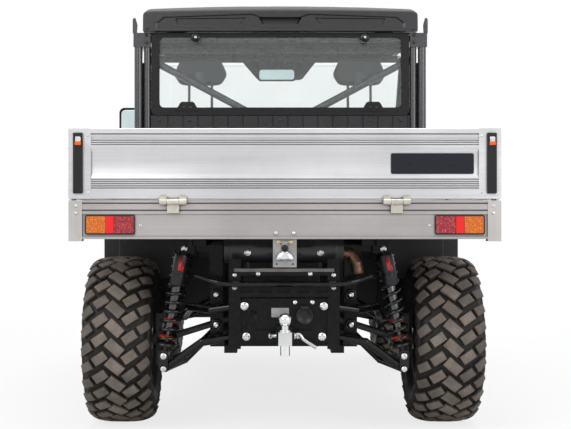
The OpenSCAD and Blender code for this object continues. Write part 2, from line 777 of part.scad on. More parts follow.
// A drop-side with its ribs and the moving half of its hinges
module drop_side() {
    front = tray_front_y - 1;
    color("#c3c5c7") {
        forward(tail_y + panel_t + panel_gap, front) polygon(concat(
            [for (p = panel_face) [tray_half_w - p[0], panel_z + p[1]]],
            [[side_inner_x, panel_z + panel_h], [side_inner_x, panel_z]]
        ));
        side_hinges(false);
    }
}

module right_drop_side() drop_side();
module left_drop_side() mirror([1, 0, 0]) drop_side();

// ---- Hitch ----

hitch_z = wheel_z + 63;
ball_y = tail_y - 38;

// Receiver tube on its crossbar behind the bulkhead
module tow_hitch() {
    face = frame_tail_y - 5 - seat_gap;
    color("#1b1c1e") difference() {
        union() {
            block([-31.5, face - 115, hitch_z - 31.5], [31.5, face, hitch_z + 31.5]);
            block([-112, face - 12, hitch_z - 31.5], [112, face, hitch_z + 13]);
        }
        block([-25.5, face - 116, hitch_z - 25.5], [25.5, face + 1, hitch_z + 25.5]);
    }
}

// Ball on its tongue, which slides into the receiver, with the hitch pin's nut below
module tow_ball() {
    color("#b8babc") {
        block([-25, ball_y - 27, hitch_z - 25], [25, frame_tail_y - 40, hitch_z + 25]);
        translate([0, ball_y, hitch_z - 62]) cylinder(r = 18, h = 38);
        translate([0, ball_y, hitch_z + 24]) cylinder(r = 14, h = 34);
        translate([0, ball_y, hitch_z + 24]) cylinder(r = 22, h = 8);
        translate([0, ball_y, hitch_z + 68]) sphere(r = 25);
    }
}

// ---- Cab ----

sill_z = floor_z + 50;
foot_z = sill_z + seat_gap;
post_x = cage_half_w - cage_r - post_r - 6.5;
cross_y = cab_y + 24;
header_y = firewall_y - 190;
pillar_y = firewall_y + 160;
pillar_z = cowl_z + 30;
cross_r = 16;
brace_low_z = cage_z - 350;

// Outer hoops from the sills over the doors to the cowl, inner rear posts, cross tubes and braces
module roll_cage() {
    color("#1d1e20") {
        both_sides() {
            bent_bar([
                [cage_half_w, cab_y, foot_z], [cage_half_w, cab_y, cage_z], [cage_half_w, header_y, cage_z],
                [cage_half_w, pillar_y, pillar_z], [cage_half_w, pillar_y, cowl_z + seat_gap]
            ], cage_r);
            bar([post_x, cab_y, foot_z], [post_x, cab_y, cage_z], post_r);
            bar([150, cross_y, brace_low_z], [post_x - 4, cross_y, cage_z - 95], 17);
            block([post_x - 16, cab_y - 22, cage_z - 45], [cage_half_w + 22, cab_y - 14, cage_z + 22]);
        }
        for (y = [cross_y, cab_y + 390, header_y])
            x_rod(-cage_half_w, cage_half_w, y, cage_z, cross_r);
        x_rod(-post_x, post_x, cross_y, brace_low_z, cross_r);
    }
}

// Floor, sills, seat riser, rear wall and front wall of the open cab
module cab_tub() {
    rear = cab_y + 18;
    riser_top = floor_z + 270;
    color("#2b2c2e") {
        block([-floor_half_w, rear, floor_z + seat_gap], [floor_half_w, firewall_y, floor_z + wall_t]);
        block([-floor_half_w, rear, floor_z + 1], [floor_half_w, rear + wall_t, floor_z + 530]);
        block([-floor_half_w, firewall_y - wall_t, floor_z + 1], [floor_half_w, firewall_y, cowl_z - 2]);
        block([-floor_half_w, rear, riser_top - wall_t], [floor_half_w, cab_y + 500, riser_top]);
        block([-floor_half_w, cab_y + 500 - wall_t, floor_z + 1], [floor_half_w, cab_y + 500, riser_top]);
        both_sides() {
            block([floor_half_w - 10, rear, floor_z + seat_gap],
                [cage_half_w + cage_r, door_front_y, sill_z]);
            block([floor_half_w - 45, cab_y - 30, floor_z + 1],
                [cage_half_w + cage_r, rear + 1, sill_z]);
        }
    }
}

// Mudguards over the rear tyres with the body's rear quarters
module rear_fenders() {
    outer = tyre_d / 2 + 57;
    inner = outer - 28;
    wall_y = cab_y - 360;
    reach = wall_y - rear_axle_y;
    wall_z = wheel_z + sqrt(inner * inner - reach * reach) + 6;
    color("#2b2c2e") both_sides() {
        difference() {
            union() {
                x_rod(430, 795, rear_axle_y, wheel_z, outer);
                block([700, cab_y - 300, sill_z], [795, cab_y + 68, upper_z - 25]);
            }
            x_rod(429, 796, rear_axle_y, wheel_z, inner);
            block([429, rear_axle_y - 500, -100], [796, cab_y + 69, sill_z]);
            block([429, rear_axle_y - 500, -100], [796, wall_y, upper_z]);
        }
        block([430, wall_y, wall_z], [701, wall_y + 28, upper_z - 25]);
        block([700, wall_y, wall_z], [720, cab_y - 299, upper_z - 25]);
        block([upper_half_w + seat_gap, wall_y, upper_z - 49], [431, wall_y + 28, upper_z - 25]);
    }
}

// Slatted panel closing the cab's back below the window
module rear_panel() {
    half = post_x - post_r - 0.5;
    slat = 71;
    color("#242527") difference() {
        block([-half, cab_y - 15, sill_z + 240], [half, cab_y, window_low - 4]);
        for (i = [-8:8])
            block(
                [(i + 0.5) * slat - 3, cab_y - 16, sill_z + 239],
                [(i + 0.5) * slat + 3, cab_y - 9, window_low]
            );
    }
}

window_half_w = 612;
knob_x = 400;
window_low = cage_z - 368;
window_high = cage_z + 24;

// Frame around the rear glass, with the two knobs that hold it to the cross tube
module rear_window_frame() {
    color("#1a1b1d") {
        difference() {
            forward(cab_y - 15, cab_y + 5)
                round_rect([-window_half_w, window_low], [window_half_w, window_high], 25);
            forward(cab_y - 16, cab_y + 6)
                round_rect([-573, window_low + 37], [573, window_high - 20], 22);
            forward(cab_y - 3, cab_y + 6)
                round_rect([-585, window_low + 25], [585, window_high - 10], 22);
        }
        both_sides() {
            y_rod(cab_y - 34, cab_y - 14, knob_x, cage_z - 3, 23);
            y_rod(cab_y - 16, cross_y - cross_r - seat_gap, knob_x, cage_z - 3, 6);
        }
    }
}

module rear_window() {
    inset = seat_gap;
    color("#9fb8b0", 0.35) difference() {
        forward(cab_y - 3 + inset, cab_y + 5)
            round_rect([-585 + inset, window_low + 25 + inset], [585 - inset, window_high - 10 - inset], 22);
        both_sides() y_rod(cab_y - 4, cab_y + 6, knob_x, cage_z - 3, 6 + inset);
    }
}

// Flat pane between the front pillars
module windscreen() {
    half = cage_half_w - cage_r - 0.6;
    lean = (pillar_y - header_y) / (cage_z - pillar_z);
    top_z = cage_z - 30;
    low_y = pillar_y + lean * 28;
    top_y = pillar_y - lean * (top_z - pillar_z);
    color("#9fb8b0", 0.35) across(-half, half) polygon([
        [low_y, pillar_z - 28], [low_y + 6, pillar_z - 28], [top_y + 6, top_z], [top_y, top_z]
    ]);
}

// Domed roof shell with a pocket under it, resting on pads over the cross tubes
module roof() {
    low = cage_z + 26;
    high = low + roof_h;
    rear = cab_y - 50;
    front = header_y + 60;
    color("#2c2d2f") {
        difference() {
            forward(rear, front) polygon(concat(
                [[-roof_half_w, low], [roof_half_w, low]],
                [for (a = [0:15:75]) [roof_half_w - 40 + 40 * cos(a), high - 53 + 40 * sin(a)]],
                [for (i = [4:-1:-4]) [i * 130, high - 13 * pow(i / 4.4, 2)]],
                [for (a = [105:15:180]) [-roof_half_w + 40 + 40 * cos(a), high - 53 + 40 * sin(a)]]
            ));
            block([-roof_half_w + 28, rear + 28, low - 1], [roof_half_w - 28, front - 28, high - 40]);
        }
        for (y = [cross_y, cab_y + 390, header_y])
            both_sides() block([450, y - 14, cage_z + cross_r + seat_gap], [540, y + 20, high - 39]);
    }
}

// Dashboard on the front wall with the steering column's tube
module dashboard() {
    back = firewall_y - wall_t - seat_gap;
    color("#222325") difference() {
        union() {
            across(-620, 620) polygon([
                [back, cowl_z - 270], [back, cowl_z - 4], [back - 110, cowl_z - 20],
                [back - 145, cowl_z - 120], [back - 90, cowl_z - 240]
            ]);
            translate(wheel_at) rotate([column_tilt, 0, 0]) translate([0, 0, -245]) cylinder(r = 24, h = 170);
        }
        translate(wheel_at) rotate([column_tilt, 0, 0]) translate([0, 0, -155])
            cylinder(r = 13 + run_clear, h = 90);
        block([150, back - 150, cowl_z - 190], [500, back - 60, cowl_z - 60]);
    }
}

seat_z = floor_z + 270 + seat_gap;
back_top_z = seat_z + 735;

// Two seats, each a base and a back cushion
module seats() {
    color("#202123") both_sides() {
        block([25, cab_y + 100, seat_z], [600, cab_y + 540, seat_z + 160]);
        across(25, 600) polygon([
            [cab_y + 60, seat_z + 160 + seat_gap],
            [cab_y + 180, seat_z + 160 + seat_gap], [cab_y + 140, back_top_z],
            [cab_y + 50, back_top_z]
        ]);
    }
}

// Six-sided headrests on two posts each
module headrests() {
    low = back_top_z + 112;
    high = low + 128;
    color("#1b1c1e") both_sides() {
        forward(cab_y + 85, cab_y + 160) polygon([
            [256, low + 52], [290, low], [480, low], [514, low + 52], [480, high], [290, high]
        ]);
        for (x = [330, 440]) translate([x, cab_y + 110, back_top_z + seat_gap]) cylinder(r = 7, h = 120);
    }
}

// Mirror hung from the front cross tube
module interior_mirror() {
    color("#1b1c1e") {
        forward(header_y - 12, header_y + 8)
            round_rect([-111, cage_z - 116], [95, cage_z - 49], 16);
        translate([20, header_y, cage_z - 50]) cylinder(r = 8, h = 50 - cross_r - seat_gap);
    }
}

// Mirror on an arm from the left front pillar
module side_mirror() {
    z = cage_z - 370;
    y = pillar_y - (z - pillar_z) * (pillar_y - header_y) / (cage_z - pillar_z);
    inner = cage_half_w + cage_r + seat_gap;
    color("#17181a") mirror([1, 0, 0]) {
        block([inner, y - 30, z - 20], [inner + 16, y + 30, z + 20]);
        bent_bar([[inner + 14, y, z], [inner + 40, y - 60, z + 10], [inner + 90, y - 290, z + 20]], 10);
        forward(y - 345, y - 280) round_rect([722, z - 50], [848, z + 100], 28);
    }
}

// ---- Nose ----

cowl_front_y = firewall_y + 200;
hood_front_y = nose_y - 90;
hood_hinge_y = cowl_front_y - 1;
hood_hinge_z = cowl_z + 8;
body_rear_y = firewall_y + seat_gap;
tub_z = wheel_z + 457;

function nose_top(drop) = [
    [cowl_front_y + 5, cowl_z - drop], [front_axle_y + 130, cowl_z - 80 - drop],
    [hood_front_y, cowl_z - 170 - drop]
];

// Cowl, fenders and nose in one shell, open under the hood and over the front wheels
module front_body() {
    color("#2b2c2e") {
        difference() {
            intersection() {
                across(-nose_half_w, nose_half_w) polygon(concat(
                    [[body_rear_y, wheel_z + 130], [body_rear_y, cowl_z]], nose_top(0),
                    [[nose_y, cowl_z - 270], [nose_y, wheel_z + 217]]
                ));
                linear_extrude(cowl_z + 10) polygon([
                    [-nose_half_w, body_rear_y], [nose_half_w, body_rear_y], [nose_half_w, nose_y - 230],
                    [nose_half_w - 150, nose_y], [-nose_half_w + 150, nose_y], [-nose_half_w, nose_y - 230]
                ]);
            }
            x_rod(-nose_half_w - 1, nose_half_w + 1, front_axle_y, wheel_z, arch_r);
            block([-356, body_rear_y + 25, 0], [356, nose_y - 40, tub_z]);
            block(
                [-hood_half_w - 5, cowl_front_y, tub_z + 20],
                [hood_half_w + 5, hood_front_y + 5, cowl_z + 20]
            );
            block([-280, nose_y - 15, cowl_z - 480], [280, nose_y + 1, cowl_z - 290]);
            both_sides() block([350, nose_y - 25, cowl_z - 400], [560, nose_y + 1, cowl_z - 300]);
        }
        both_sides() {
            for (z = door_hinge_heights) door_hinge(z, true);
            x_rod(240, 262, hood_hinge_y, hood_hinge_z, 8);
            x_rod(240, 288, hood_hinge_y, hood_hinge_z, 4);
            block([240, hood_hinge_y - 7, cowl_z - 6], [262, hood_hinge_y, hood_hinge_z]);
        }
    }
}

// Ribbed hood, hinged at the cowl
module hood() {
    color("#303133") {
        across(-hood_half_w, hood_half_w) polygon(concat(nose_top(0), [for (i = [2:-1:0]) nose_top(25)[i]]));
        both_sides() difference() {
            union() {
                x_rod(263, 285, hood_hinge_y, hood_hinge_z, 8);
                block([263, hood_hinge_y, hood_hinge_z - 2], [285, hood_hinge_y + 30, hood_hinge_z + 4]);
                block([263, cowl_front_y + 5, cowl_z - 12], [285, hood_hinge_y + 30, hood_hinge_z]);
            }
            x_rod(262, 290, hood_hinge_y, hood_hinge_z, 4 + run_clear);
        }
    }
}

// Barred grille in the nose's pocket
module grille() {
    back = nose_y - 15 + seat_gap;
    color("#151617") difference() {
        block([-279, back, cowl_z - 479], [279, nose_y + 2, cowl_z - 291]);
        for (i = [0:4])
            block([-262, back + 5, cowl_z - 466 + i * 34], [262, nose_y + 3, cowl_z - 446 + i * 34]);
    }
}

module headlamps() {
    color("#c9cdd0") both_sides()
        block([351, nose_y - 25 + seat_gap, cowl_z - 399], [559, nose_y + 3, cowl_z - 301]);
}

// Tube guard in front of the nose on two brackets from the front rails
module front_bumper() {
    y = nose_y + 28;
    color("#1b1c1e") both_sides() {
        block([110, front_axle_y + 330 + seat_gap, frame_z], [150, y + 6, frame_z + 50]);
        bar([130, y, frame_z + 20], [130, y, wheel_z + 370], 19);
        bar([0, y, frame_z + 170], [420, y, frame_z + 170], 22);
        bar([0, y, wheel_z + 340], [420, y, wheel_z + 340], 22);
        bar([410, y, frame_z + 160], [410, y, wheel_z + 350], 19);
    }
}

// ---- Doors ----

door_inner_x = cage_half_w + cage_r + 6.5;
door_hinge_x = door_inner_x + door_t + 7;
door_hinge_y = firewall_y - 9;
door_hinge_heights = [floor_z + 210, floor_z + 530];

// A door hinge: the body's middle knuckle with the pin, or the door's outer knuckles
module door_hinge(z, fixed) {
    if (fixed) {
        translate([door_hinge_x, door_hinge_y, z - 16]) cylinder(r = 8, h = 32);
        translate([door_hinge_x, door_hinge_y, z - 42]) cylinder(r = 4, h = 84);
        block([door_hinge_x - 5, door_hinge_y, z - 16], [door_hinge_x + 5, body_rear_y + 1, z + 16]);
    } else difference() {
        union() for (low = [z - 43, z + 16 + pin_gap]) {
            translate([door_hinge_x, door_hinge_y, low]) cylinder(r = 8, h = 26);
            block([door_hinge_x - 8, door_hinge_y - 50, low], [door_hinge_x - 2, door_hinge_y, low + 26]);
        }
        translate([door_hinge_x, door_hinge_y, z - 50]) cylinder(r = 4 + run_clear, h = 100);
    }
}

// Half door with a recessed inner face
module door() {
    low = floor_z + 60;
    color("#2b2c2e") {
        difference() {
            block([door_inner_x, door_rear_y, low], [door_inner_x + door_t, door_front_y, low + door_h]);
            block([door_inner_x - 1, door_rear_y + 80, low + 90],
                [door_inner_x + door_t - 12, door_front_y - 120, low + door_h - 120]);
        }
        for (z = door_hinge_heights) door_hinge(z, false);
    }
}

module right_door() door();
module left_door() mirror([1, 0, 0]) door();

chassis_frame();
rear_bulkhead();
engine();
final_drives();
muffler();
roll_cage();
cab_tub();
rear_fenders();
rear_panel();
rear_window_frame();
rear_window();
windscreen();
roof();
dashboard();
seats();
headrests();
interior_mirror();
side_mirror();
front_body();
grille();
headlamps();
front_bumper();
rear_arms();
front_arms();
coil_overs();
rear_knuckles();
half_shafts();
sway_bar();
tow_hitch();
tow_ball();
tray_deck();
rear_beam();
headboard();
tail_lamps();
plate_bracket();
tailgate();
tailgate_latches();
left_drop_side();
right_drop_side();
left_door();
right_door();
hood();
steering_wheel();
steering_rack();
front_left_knuckle();
front_right_knuckle();
front_left_tyre();
front_left_rim();
front_right_tyre();
front_right_rim();
rear_left_tyre();
rear_left_rim();
rear_right_tyre();
rear_right_rim();
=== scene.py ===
import math

import bmesh
import bpy
import numpy as np
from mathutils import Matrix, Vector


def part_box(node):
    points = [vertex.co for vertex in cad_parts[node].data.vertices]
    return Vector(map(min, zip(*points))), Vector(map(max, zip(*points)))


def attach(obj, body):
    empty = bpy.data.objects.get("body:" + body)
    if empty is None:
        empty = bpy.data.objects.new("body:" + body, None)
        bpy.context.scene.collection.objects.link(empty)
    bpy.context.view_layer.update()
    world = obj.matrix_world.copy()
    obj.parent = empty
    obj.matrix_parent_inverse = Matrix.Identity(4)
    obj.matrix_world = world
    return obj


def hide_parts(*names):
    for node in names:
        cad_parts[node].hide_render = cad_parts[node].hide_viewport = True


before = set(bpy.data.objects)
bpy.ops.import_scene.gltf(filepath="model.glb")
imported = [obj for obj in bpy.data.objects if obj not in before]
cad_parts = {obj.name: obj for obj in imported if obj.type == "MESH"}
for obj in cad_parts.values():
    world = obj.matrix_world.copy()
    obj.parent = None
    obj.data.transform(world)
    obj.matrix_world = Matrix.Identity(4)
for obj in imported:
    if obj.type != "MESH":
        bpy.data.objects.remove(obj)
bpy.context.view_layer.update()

both_sides = (-1.0, 1.0)
rearward = (0, -1, 0)

# ---------------------------------------------------------------------------------------------
# Studio: a pale floor that fades into a white surround, and four soft lamps.
# The camera stands low behind the vehicle, level, a little left of its middle.
# ---------------------------------------------------------------------------------------------
floor_colour = (0.86, 0.86, 0.86, 1.0)
floor_lift = 0.78
fade_from, fade_to = 1.9, 4.6
surround_light = 0.42
look_at = np.array([0.0, 0.0, 0.7])
lamp_plan = [
    ("lamp_key", (-3.6, -5.2, 4.2), 3.2, 175.0),
    ("lamp_fill", (3.9, -5.0, 2.6), 3.0, 105.0),
    ("lamp_top", (0.0, -0.6, 5.4), 4.2, 170.0),
    ("lamp_front", (1.5, 6.0, 3.8), 3.5, 150.0),
]

scene = bpy.context.scene
scene.view_settings.view_transform = "Standard"

camera = bpy.data.objects.new("camera", bpy.data.cameras.new("camera"))
scene.collection.objects.link(camera)
camera.location = (-0.078, -5.73, 0.861)
camera.rotation_euler = (math.radians(90.0), 0.0, 0.0)
camera.data.sensor_width = 36.0
camera.data.lens = 71.56
camera.data.shift_x = 0.038
scene.camera = camera

for name, place, size, power in lamp_plan:
    lamp = bpy.data.lights.new(name, "AREA")
    lamp.size = size
    lamp.energy = power
    lamp_object = bpy.data.objects.new(name, lamp)
    scene.collection.objects.link(lamp_object)
    lamp_object.location = place
    lamp_object.visible_camera = False
    lamp_object.visible_transmission = False
    toward = look_at - np.array(place)
    flat = math.hypot(toward[0], toward[1])
    lamp_object.rotation_euler = (
        math.atan2(flat, -toward[2]), 0.0, math.atan2(toward[1], toward[0]) - math.pi / 2,
    )

world = bpy.data.worlds.new("studio")
scene.world = world
world.use_nodes = True
nodes, links = world.node_tree.nodes, world.node_tree.links
surround = nodes["Background"]
rays = nodes.new("ShaderNodeLightPath")
seen = nodes.new("ShaderNodeMath")
seen.operation = "MAXIMUM"
links.new(rays.outputs["Is Camera Ray"], seen.inputs[0])
glossy = nodes.new("ShaderNodeMath")
glossy.operation = "MAXIMUM"
links.new(rays.outputs["Is Glossy Ray"], glossy.inputs[0])
links.new(rays.outputs["Is Transmission Ray"], glossy.inputs[1])
links.new(glossy.outputs[0], seen.inputs[1])
level = nodes.new("ShaderNodeMapRange")
level.inputs["To Min"].default_value = surround_light
level.inputs["To Max"].default_value = 1.0
links.new(seen.outputs[0], level.inputs["Value"])
links.new(level.outputs["Result"], surround.inputs["Strength"])
surround.inputs["Color"].default_value = (1.0, 1.0, 1.0, 1.0)

floor_mesh = bpy.data.meshes.new("floor")
angle = np.linspace(0.0, 2.0 * math.pi, 97)[:-1]
radii = np.array([0.0, 2.5, 5.0, 9.0])
ring = np.stack([np.outer(radii, np.cos(angle)), np.outer(radii, np.sin(angle)), np.zeros((4, 96))], axis=2)
i, j = np.meshgrid(np.arange(3), np.arange(96), indexing="ij")
k = (j + 1) % 96
quads = np.stack([i * 96 + j, (i + 1) * 96 + j, (i + 1) * 96 + k, i * 96 + k], axis=2).reshape(-1, 4)
floor_mesh.from_pydata(ring.reshape(-1, 3).tolist(), [], quads.tolist())
floor_object = bpy.data.objects.new("floor", floor_mesh)
scene.collection.objects.link(floor_object)
floor_paint = bpy.data.materials.new("floor_paint")
floor_paint.use_nodes = True
nodes, links = floor_paint.node_tree.nodes, floor_paint.node_tree.links
shader = nodes["Principled BSDF"]
shader.inputs["Base Color"].default_value = floor_colour
shader.inputs["Roughness"].default_value = 0.9
place = nodes.new("ShaderNodeTexCoord")
reach = nodes.new("ShaderNodeVectorMath")
reach.operation = "LENGTH"
links.new(place.outputs["Object"], reach.inputs[0])
fade = nodes.new("ShaderNodeMapRange")
fade.interpolation_type = "SMOOTHSTEP"
fade.inputs["From Min"].default_value = fade_from
fade.inputs["From Max"].default_value = fade_to
links.new(reach.outputs["Value"], fade.inputs["Value"])
rays = nodes.new("ShaderNodeLightPath")
hide = nodes.new("ShaderNodeMath")
hide.operation = "MULTIPLY"
links.new(fade.outputs["Result"], hide.inputs[0])
links.new(rays.outputs["Is Camera Ray"], hide.inputs[1])
glow = nodes.new("ShaderNodeEmission")
lift = nodes.new("ShaderNodeMath")
lift.operation = "MULTIPLY"
lift.inputs[1].default_value = floor_lift
links.new(rays.outputs["Is Camera Ray"], lift.inputs[0])
bright = nodes.new("ShaderNodeMixShader")
links.new(lift.outputs[0], bright.inputs["Fac"])
links.new(shader.outputs["BSDF"], bright.inputs[1])
links.new(glow.outputs["Emission"], bright.inputs[2])
clear = nodes.new("ShaderNodeBsdfTransparent")
blend = nodes.new("ShaderNodeMixShader")
links.new(hide.outputs[0], blend.inputs["Fac"])
links.new(bright.outputs["Shader"], blend.inputs[1])
links.new(clear.outputs["BSDF"], blend.inputs[2])
links.new(blend.outputs["Shader"], nodes["Material Output"].inputs["Surface"])
floor_mesh.materials.append(floor_paint)

# ---------------------------------------------------------------------------------------------
# Welded steel chassis: ladder rails, cross-members, brackets and the rear bulkhead plate.
# Mild steel tube and plate, powder coated satin black, with road dust on what faces up.
# ---------------------------------------------------------------------------------------------
frame_black = (0.0055, 0.0055, 0.006, 1.0)
road_dust = (0.13, 0.105, 0.08, 1.0)


def shader_group(name, values):
    """An empty node group with named inputs (a colour, a vector or a number each) and its three outputs."""
    group = bpy.data.node_groups.new(name, "ShaderNodeTree")
    for label, value in values.items():
        kind = "NodeSocketFloat"
        if isinstance(value, tuple):
            kind = "NodeSocketColor" if len(value) == 4 else "NodeSocketVector"
        socket = group.interface.new_socket(label, in_out="INPUT", socket_type=kind)
        socket.default_value = value
    for label, kind in (("Colour", "Color"), ("Roughness", "Float"), ("Height", "Float")):
        group.interface.new_socket(label, in_out="OUTPUT", socket_type="NodeSocket" + kind)
    return group, group.nodes.new("NodeGroupInput"), group.nodes.new("NodeGroupOutput")


def add_math(group, operation, first, second):
    """One Math node in a group; each side is an output socket or a plain number."""
    node = group.nodes.new("ShaderNodeMath")
    node.operation = operation
    for socket, value in zip(node.inputs, (first, second)):
        if isinstance(value, (int, float)):
            socket.default_value = value
        else:
            group.links.new(value, socket)
    return node.outputs[0]


def add_mix(group, amount, first, second):
    """One colour Mix node in a group; each of its three inputs is an output socket or a plain value."""
    node = group.nodes.new("ShaderNodeMix")
    node.data_type = "RGBA"
    for socket, value in ((node.inputs[0], amount), (node.inputs[6], first), (node.inputs[7], second)):
        if isinstance(value, (int, float, tuple)):
            socket.default_value = value
        else:
            group.links.new(value, socket)
    return node.outputs[2]


def add_scaled(group, colour, amount):
    """A colour socket times a number socket."""
    node = group.nodes.new("ShaderNodeVectorMath")
    node.operation = "SCALE"
    group.links.new(colour, node.inputs[0])
    group.links.new(amount, node.inputs["Scale"])
    return node.outputs[0]


def add_noise(group, scale, detail=3.0, stretch=None):
    """Noise over Object coordinates; scale is a socket or a number, stretch an optional vector socket."""
    where = group.nodes.new("ShaderNodeTexCoord").outputs["Object"]
    if stretch is not None:
        scaled = group.nodes.new("ShaderNodeVectorMath")
        scaled.operation = "MULTIPLY"
        group.links.new(where, scaled.inputs[0])
        group.links.new(stretch, scaled.inputs[1])
        where = scaled.outputs[0]
    noise = group.nodes.new("ShaderNodeTexNoise")
    noise.inputs["Detail"].default_value = detail
    group.links.new(where, noise.inputs["Vector"])
    if isinstance(scale, (int, float)):
        noise.inputs["Scale"].default_value = scale
    else:
        group.links.new(scale, noise.inputs["Scale"])
    return noise.outputs["Fac"]


def add_range(group, value, low, high, to_low=0.0, to_high=1.0):
    """Map Range from low..high to to_low..to_high, clamped; each end is a socket or a number."""
    node = group.nodes.new("ShaderNodeMapRange")
    group.links.new(value, node.inputs["Value"])
    for label, end in (("From Min", low), ("From Max", high), ("To Min", to_low), ("To Max", to_high)):
        if isinstance(end, (int, float)):
            node.inputs[label].default_value = end
        else:
            group.links.new(end, node.inputs[label])
    return node.outputs["Result"]



def coated_look(colour, mottle, grain, rough, spread, dust, dust_colour=road_dust):
    """The inputs of the coated surface: colour, cloudiness, grain scale, roughness and dust."""
    return {
        "Colour": colour, "Mottle": mottle, "Grain": grain, "Rough": rough, "Rough spread": spread,
        "Dust colour": dust_colour, "Dust": dust,
    }


coated_values = coated_look((0.5, 0.5, 0.5, 1.0), 0.12, 900.0, 0.4, 0.12, 0.3)
coated, given, put = shader_group("coated_surface", coated_values)
broad = add_noise(coated, 7.0, 4.0)
fine = add_noise(coated, given.outputs["Grain"], 2.0)
spots = add_noise(coated, 55.0, 5.0)
tone = add_math(coated, "MULTIPLY", add_range(coated, broad, 0.3, 0.7, -1.0, 1.0), given.outputs["Mottle"])
tone = add_math(coated, "ADD", tone, 1.0)
shade = add_scaled(coated, given.outputs["Colour"], tone)
normal = coated.nodes.new("ShaderNodeNewGeometry").outputs["Normal"]
upward = coated.nodes.new("ShaderNodeSeparateXYZ")
coated.links.new(normal, upward.inputs[0])
settled = add_range(coated, upward.outputs["Z"], -0.2, 0.9, 0.25, 1.0)
patches = add_range(coated, spots, 0.42, 0.68)
dusty = add_math(coated, "MULTIPLY", add_math(coated, "MULTIPLY", settled, patches), given.outputs["Dust"])
coated.links.new(add_mix(coated, dusty, shade, given.outputs["Dust colour"]), put.inputs["Colour"])
rough = add_math(
    coated, "MULTIPLY", add_range(coated, spots, 0.3, 0.7, -1.0, 1.0), given.outputs["Rough spread"],
)
rough = add_math(coated, "ADD", add_math(coated, "ADD", rough, given.outputs["Rough"]), dusty)
coated.links.new(add_math(coated, "MINIMUM", rough, 1.0), put.inputs["Roughness"])
coated.links.new(fine, put.inputs["Height"])


def make_finish(name, effect, values, bump=0.00012, **sockets):
    """A material: one shared effect gives colour, roughness and height, and the named sockets stay constant."""
    finish = bpy.data.materials.new(name)
    finish.use_nodes = True
    tree = finish.node_tree
    shader = tree.nodes["Principled BSDF"]
    look = tree.nodes.new("ShaderNodeGroup")
    look.node_tree = effect
    for label, value in values.items():
        look.inputs[label].default_value = value
    raised = tree.nodes.new("ShaderNodeBump")
    raised.inputs["Distance"].default_value = bump
    raised.inputs["Strength"].default_value = 1.0
    tree.links.new(look.outputs["Colour"], shader.inputs["Base Color"])
    tree.links.new(look.outputs["Roughness"], shader.inputs["Roughness"])
    tree.links.new(look.outputs["Height"], raised.inputs["Height"])
    tree.links.new(raised.outputs["Normal"], shader.inputs["Normal"])
    for label, value in sockets.items():
        shader.inputs[label.replace("_", " ").title().replace("Ior", "IOR")].default_value = value
    return finish


def new_piece(name, points, faces, finish, body, slot, smooth=True):
    """A mesh piece from a point array and a face list, with its material and body; the slot is not used."""
    mesh = bpy.data.meshes.new(name)
    mesh.from_pydata(np.asarray(points).tolist(), [], faces)
    mesh.polygons.foreach_set("use_smooth", np.full(len(mesh.polygons), smooth))
    mesh.materials.append(finish)
    mesh.update()
    piece = bpy.data.objects.new(name, mesh)
    bpy.context.scene.collection.objects.link(piece)
    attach(piece, body)
    return piece


def soften(piece, width, segments=2, turn=30.0):
    """Rounds the edges sharper than the turn, in degrees, with a small bevel."""
    bevel = piece.modifiers.new("edges", "BEVEL")
    bevel.width = width
    bevel.segments = segments
    bevel.limit_method = "ANGLE"
    bevel.angle_limit = math.radians(turn)
    bevel.harden_normals = True
    bevel.use_clamp_overlap = True


def thicken(piece, thickness):
    """Gives an open sheet a wall, half on each side of it."""
    wall = piece.modifiers.new("wall", "SOLIDIFY")
    wall.thickness = thickness
    wall.offset = 0.0


def face_outward(piece, merge=0.0, sharp=None):
    """Merges points closer than merge, turns the faces outward, and hardens edges over sharp degrees."""
    sheet = bmesh.new()
    sheet.from_mesh(piece.data)
    if merge > 0.0:
        bmesh.ops.remove_doubles(sheet, verts=sheet.verts, dist=merge)
    bmesh.ops.recalc_face_normals(sheet, faces=sheet.faces)
    if sharp is not None:
        for edge in sheet.edges:
            edge.smooth = len(edge.link_faces) == 2 and edge.calc_face_angle(0.0) < math.radians(sharp)
    sheet.to_mesh(piece.data)
    sheet.free()


def box_middle(node):
    """The middle of a CAD node's box."""
    low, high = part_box(node)
    return (np.array(low) + np.array(high)) / 2.0


def finished_copy(node, body, finish, width=0.0015, segments=2, turn=30.0):
    """The CAD node's own shape with its doubles merged, flat faces joined, and edges rounded."""
    piece = bpy.data.objects.new(node + "_finished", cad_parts[node].data.copy())
    bpy.context.scene.collection.objects.link(piece)
    piece.data.materials.clear()
    piece.data.materials.append(finish)
    sheet = bmesh.new()
    sheet.from_mesh(piece.data)
    bmesh.ops.remove_doubles(sheet, verts=sheet.verts, dist=0.00002)
    bmesh.ops.dissolve_limit(sheet, angle_limit=math.radians(0.6), verts=sheet.verts, edges=sheet.edges)
    for face in sheet.faces:
        face.smooth = True
        face.material_index = 0
    for edge in sheet.edges:
        edge.smooth = len(edge.link_faces) == 2 and edge.calc_face_angle(0.0) < math.radians(turn)
    sheet.to_mesh(piece.data)
    sheet.free()
    if width > 0.0:
        soften(piece, width, segments, turn)
    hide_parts(node)
    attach(piece, body)
    return piece


frame_values = coated_look(frame_black, 0.25, 1400.0, 0.3, 0.1, 0.07)
frame_paint = make_finish(
    "frame_paint", coated, frame_values, bump=0.00004, specular_ior_level=0.07, coat_weight=0.16,
    coat_roughness=0.08,
)
finished_copy("chassis_frame", "chassis", frame_paint, 0.002, 1)
finished_copy("rear_bulkhead", "chassis", frame_paint, 0.0012)

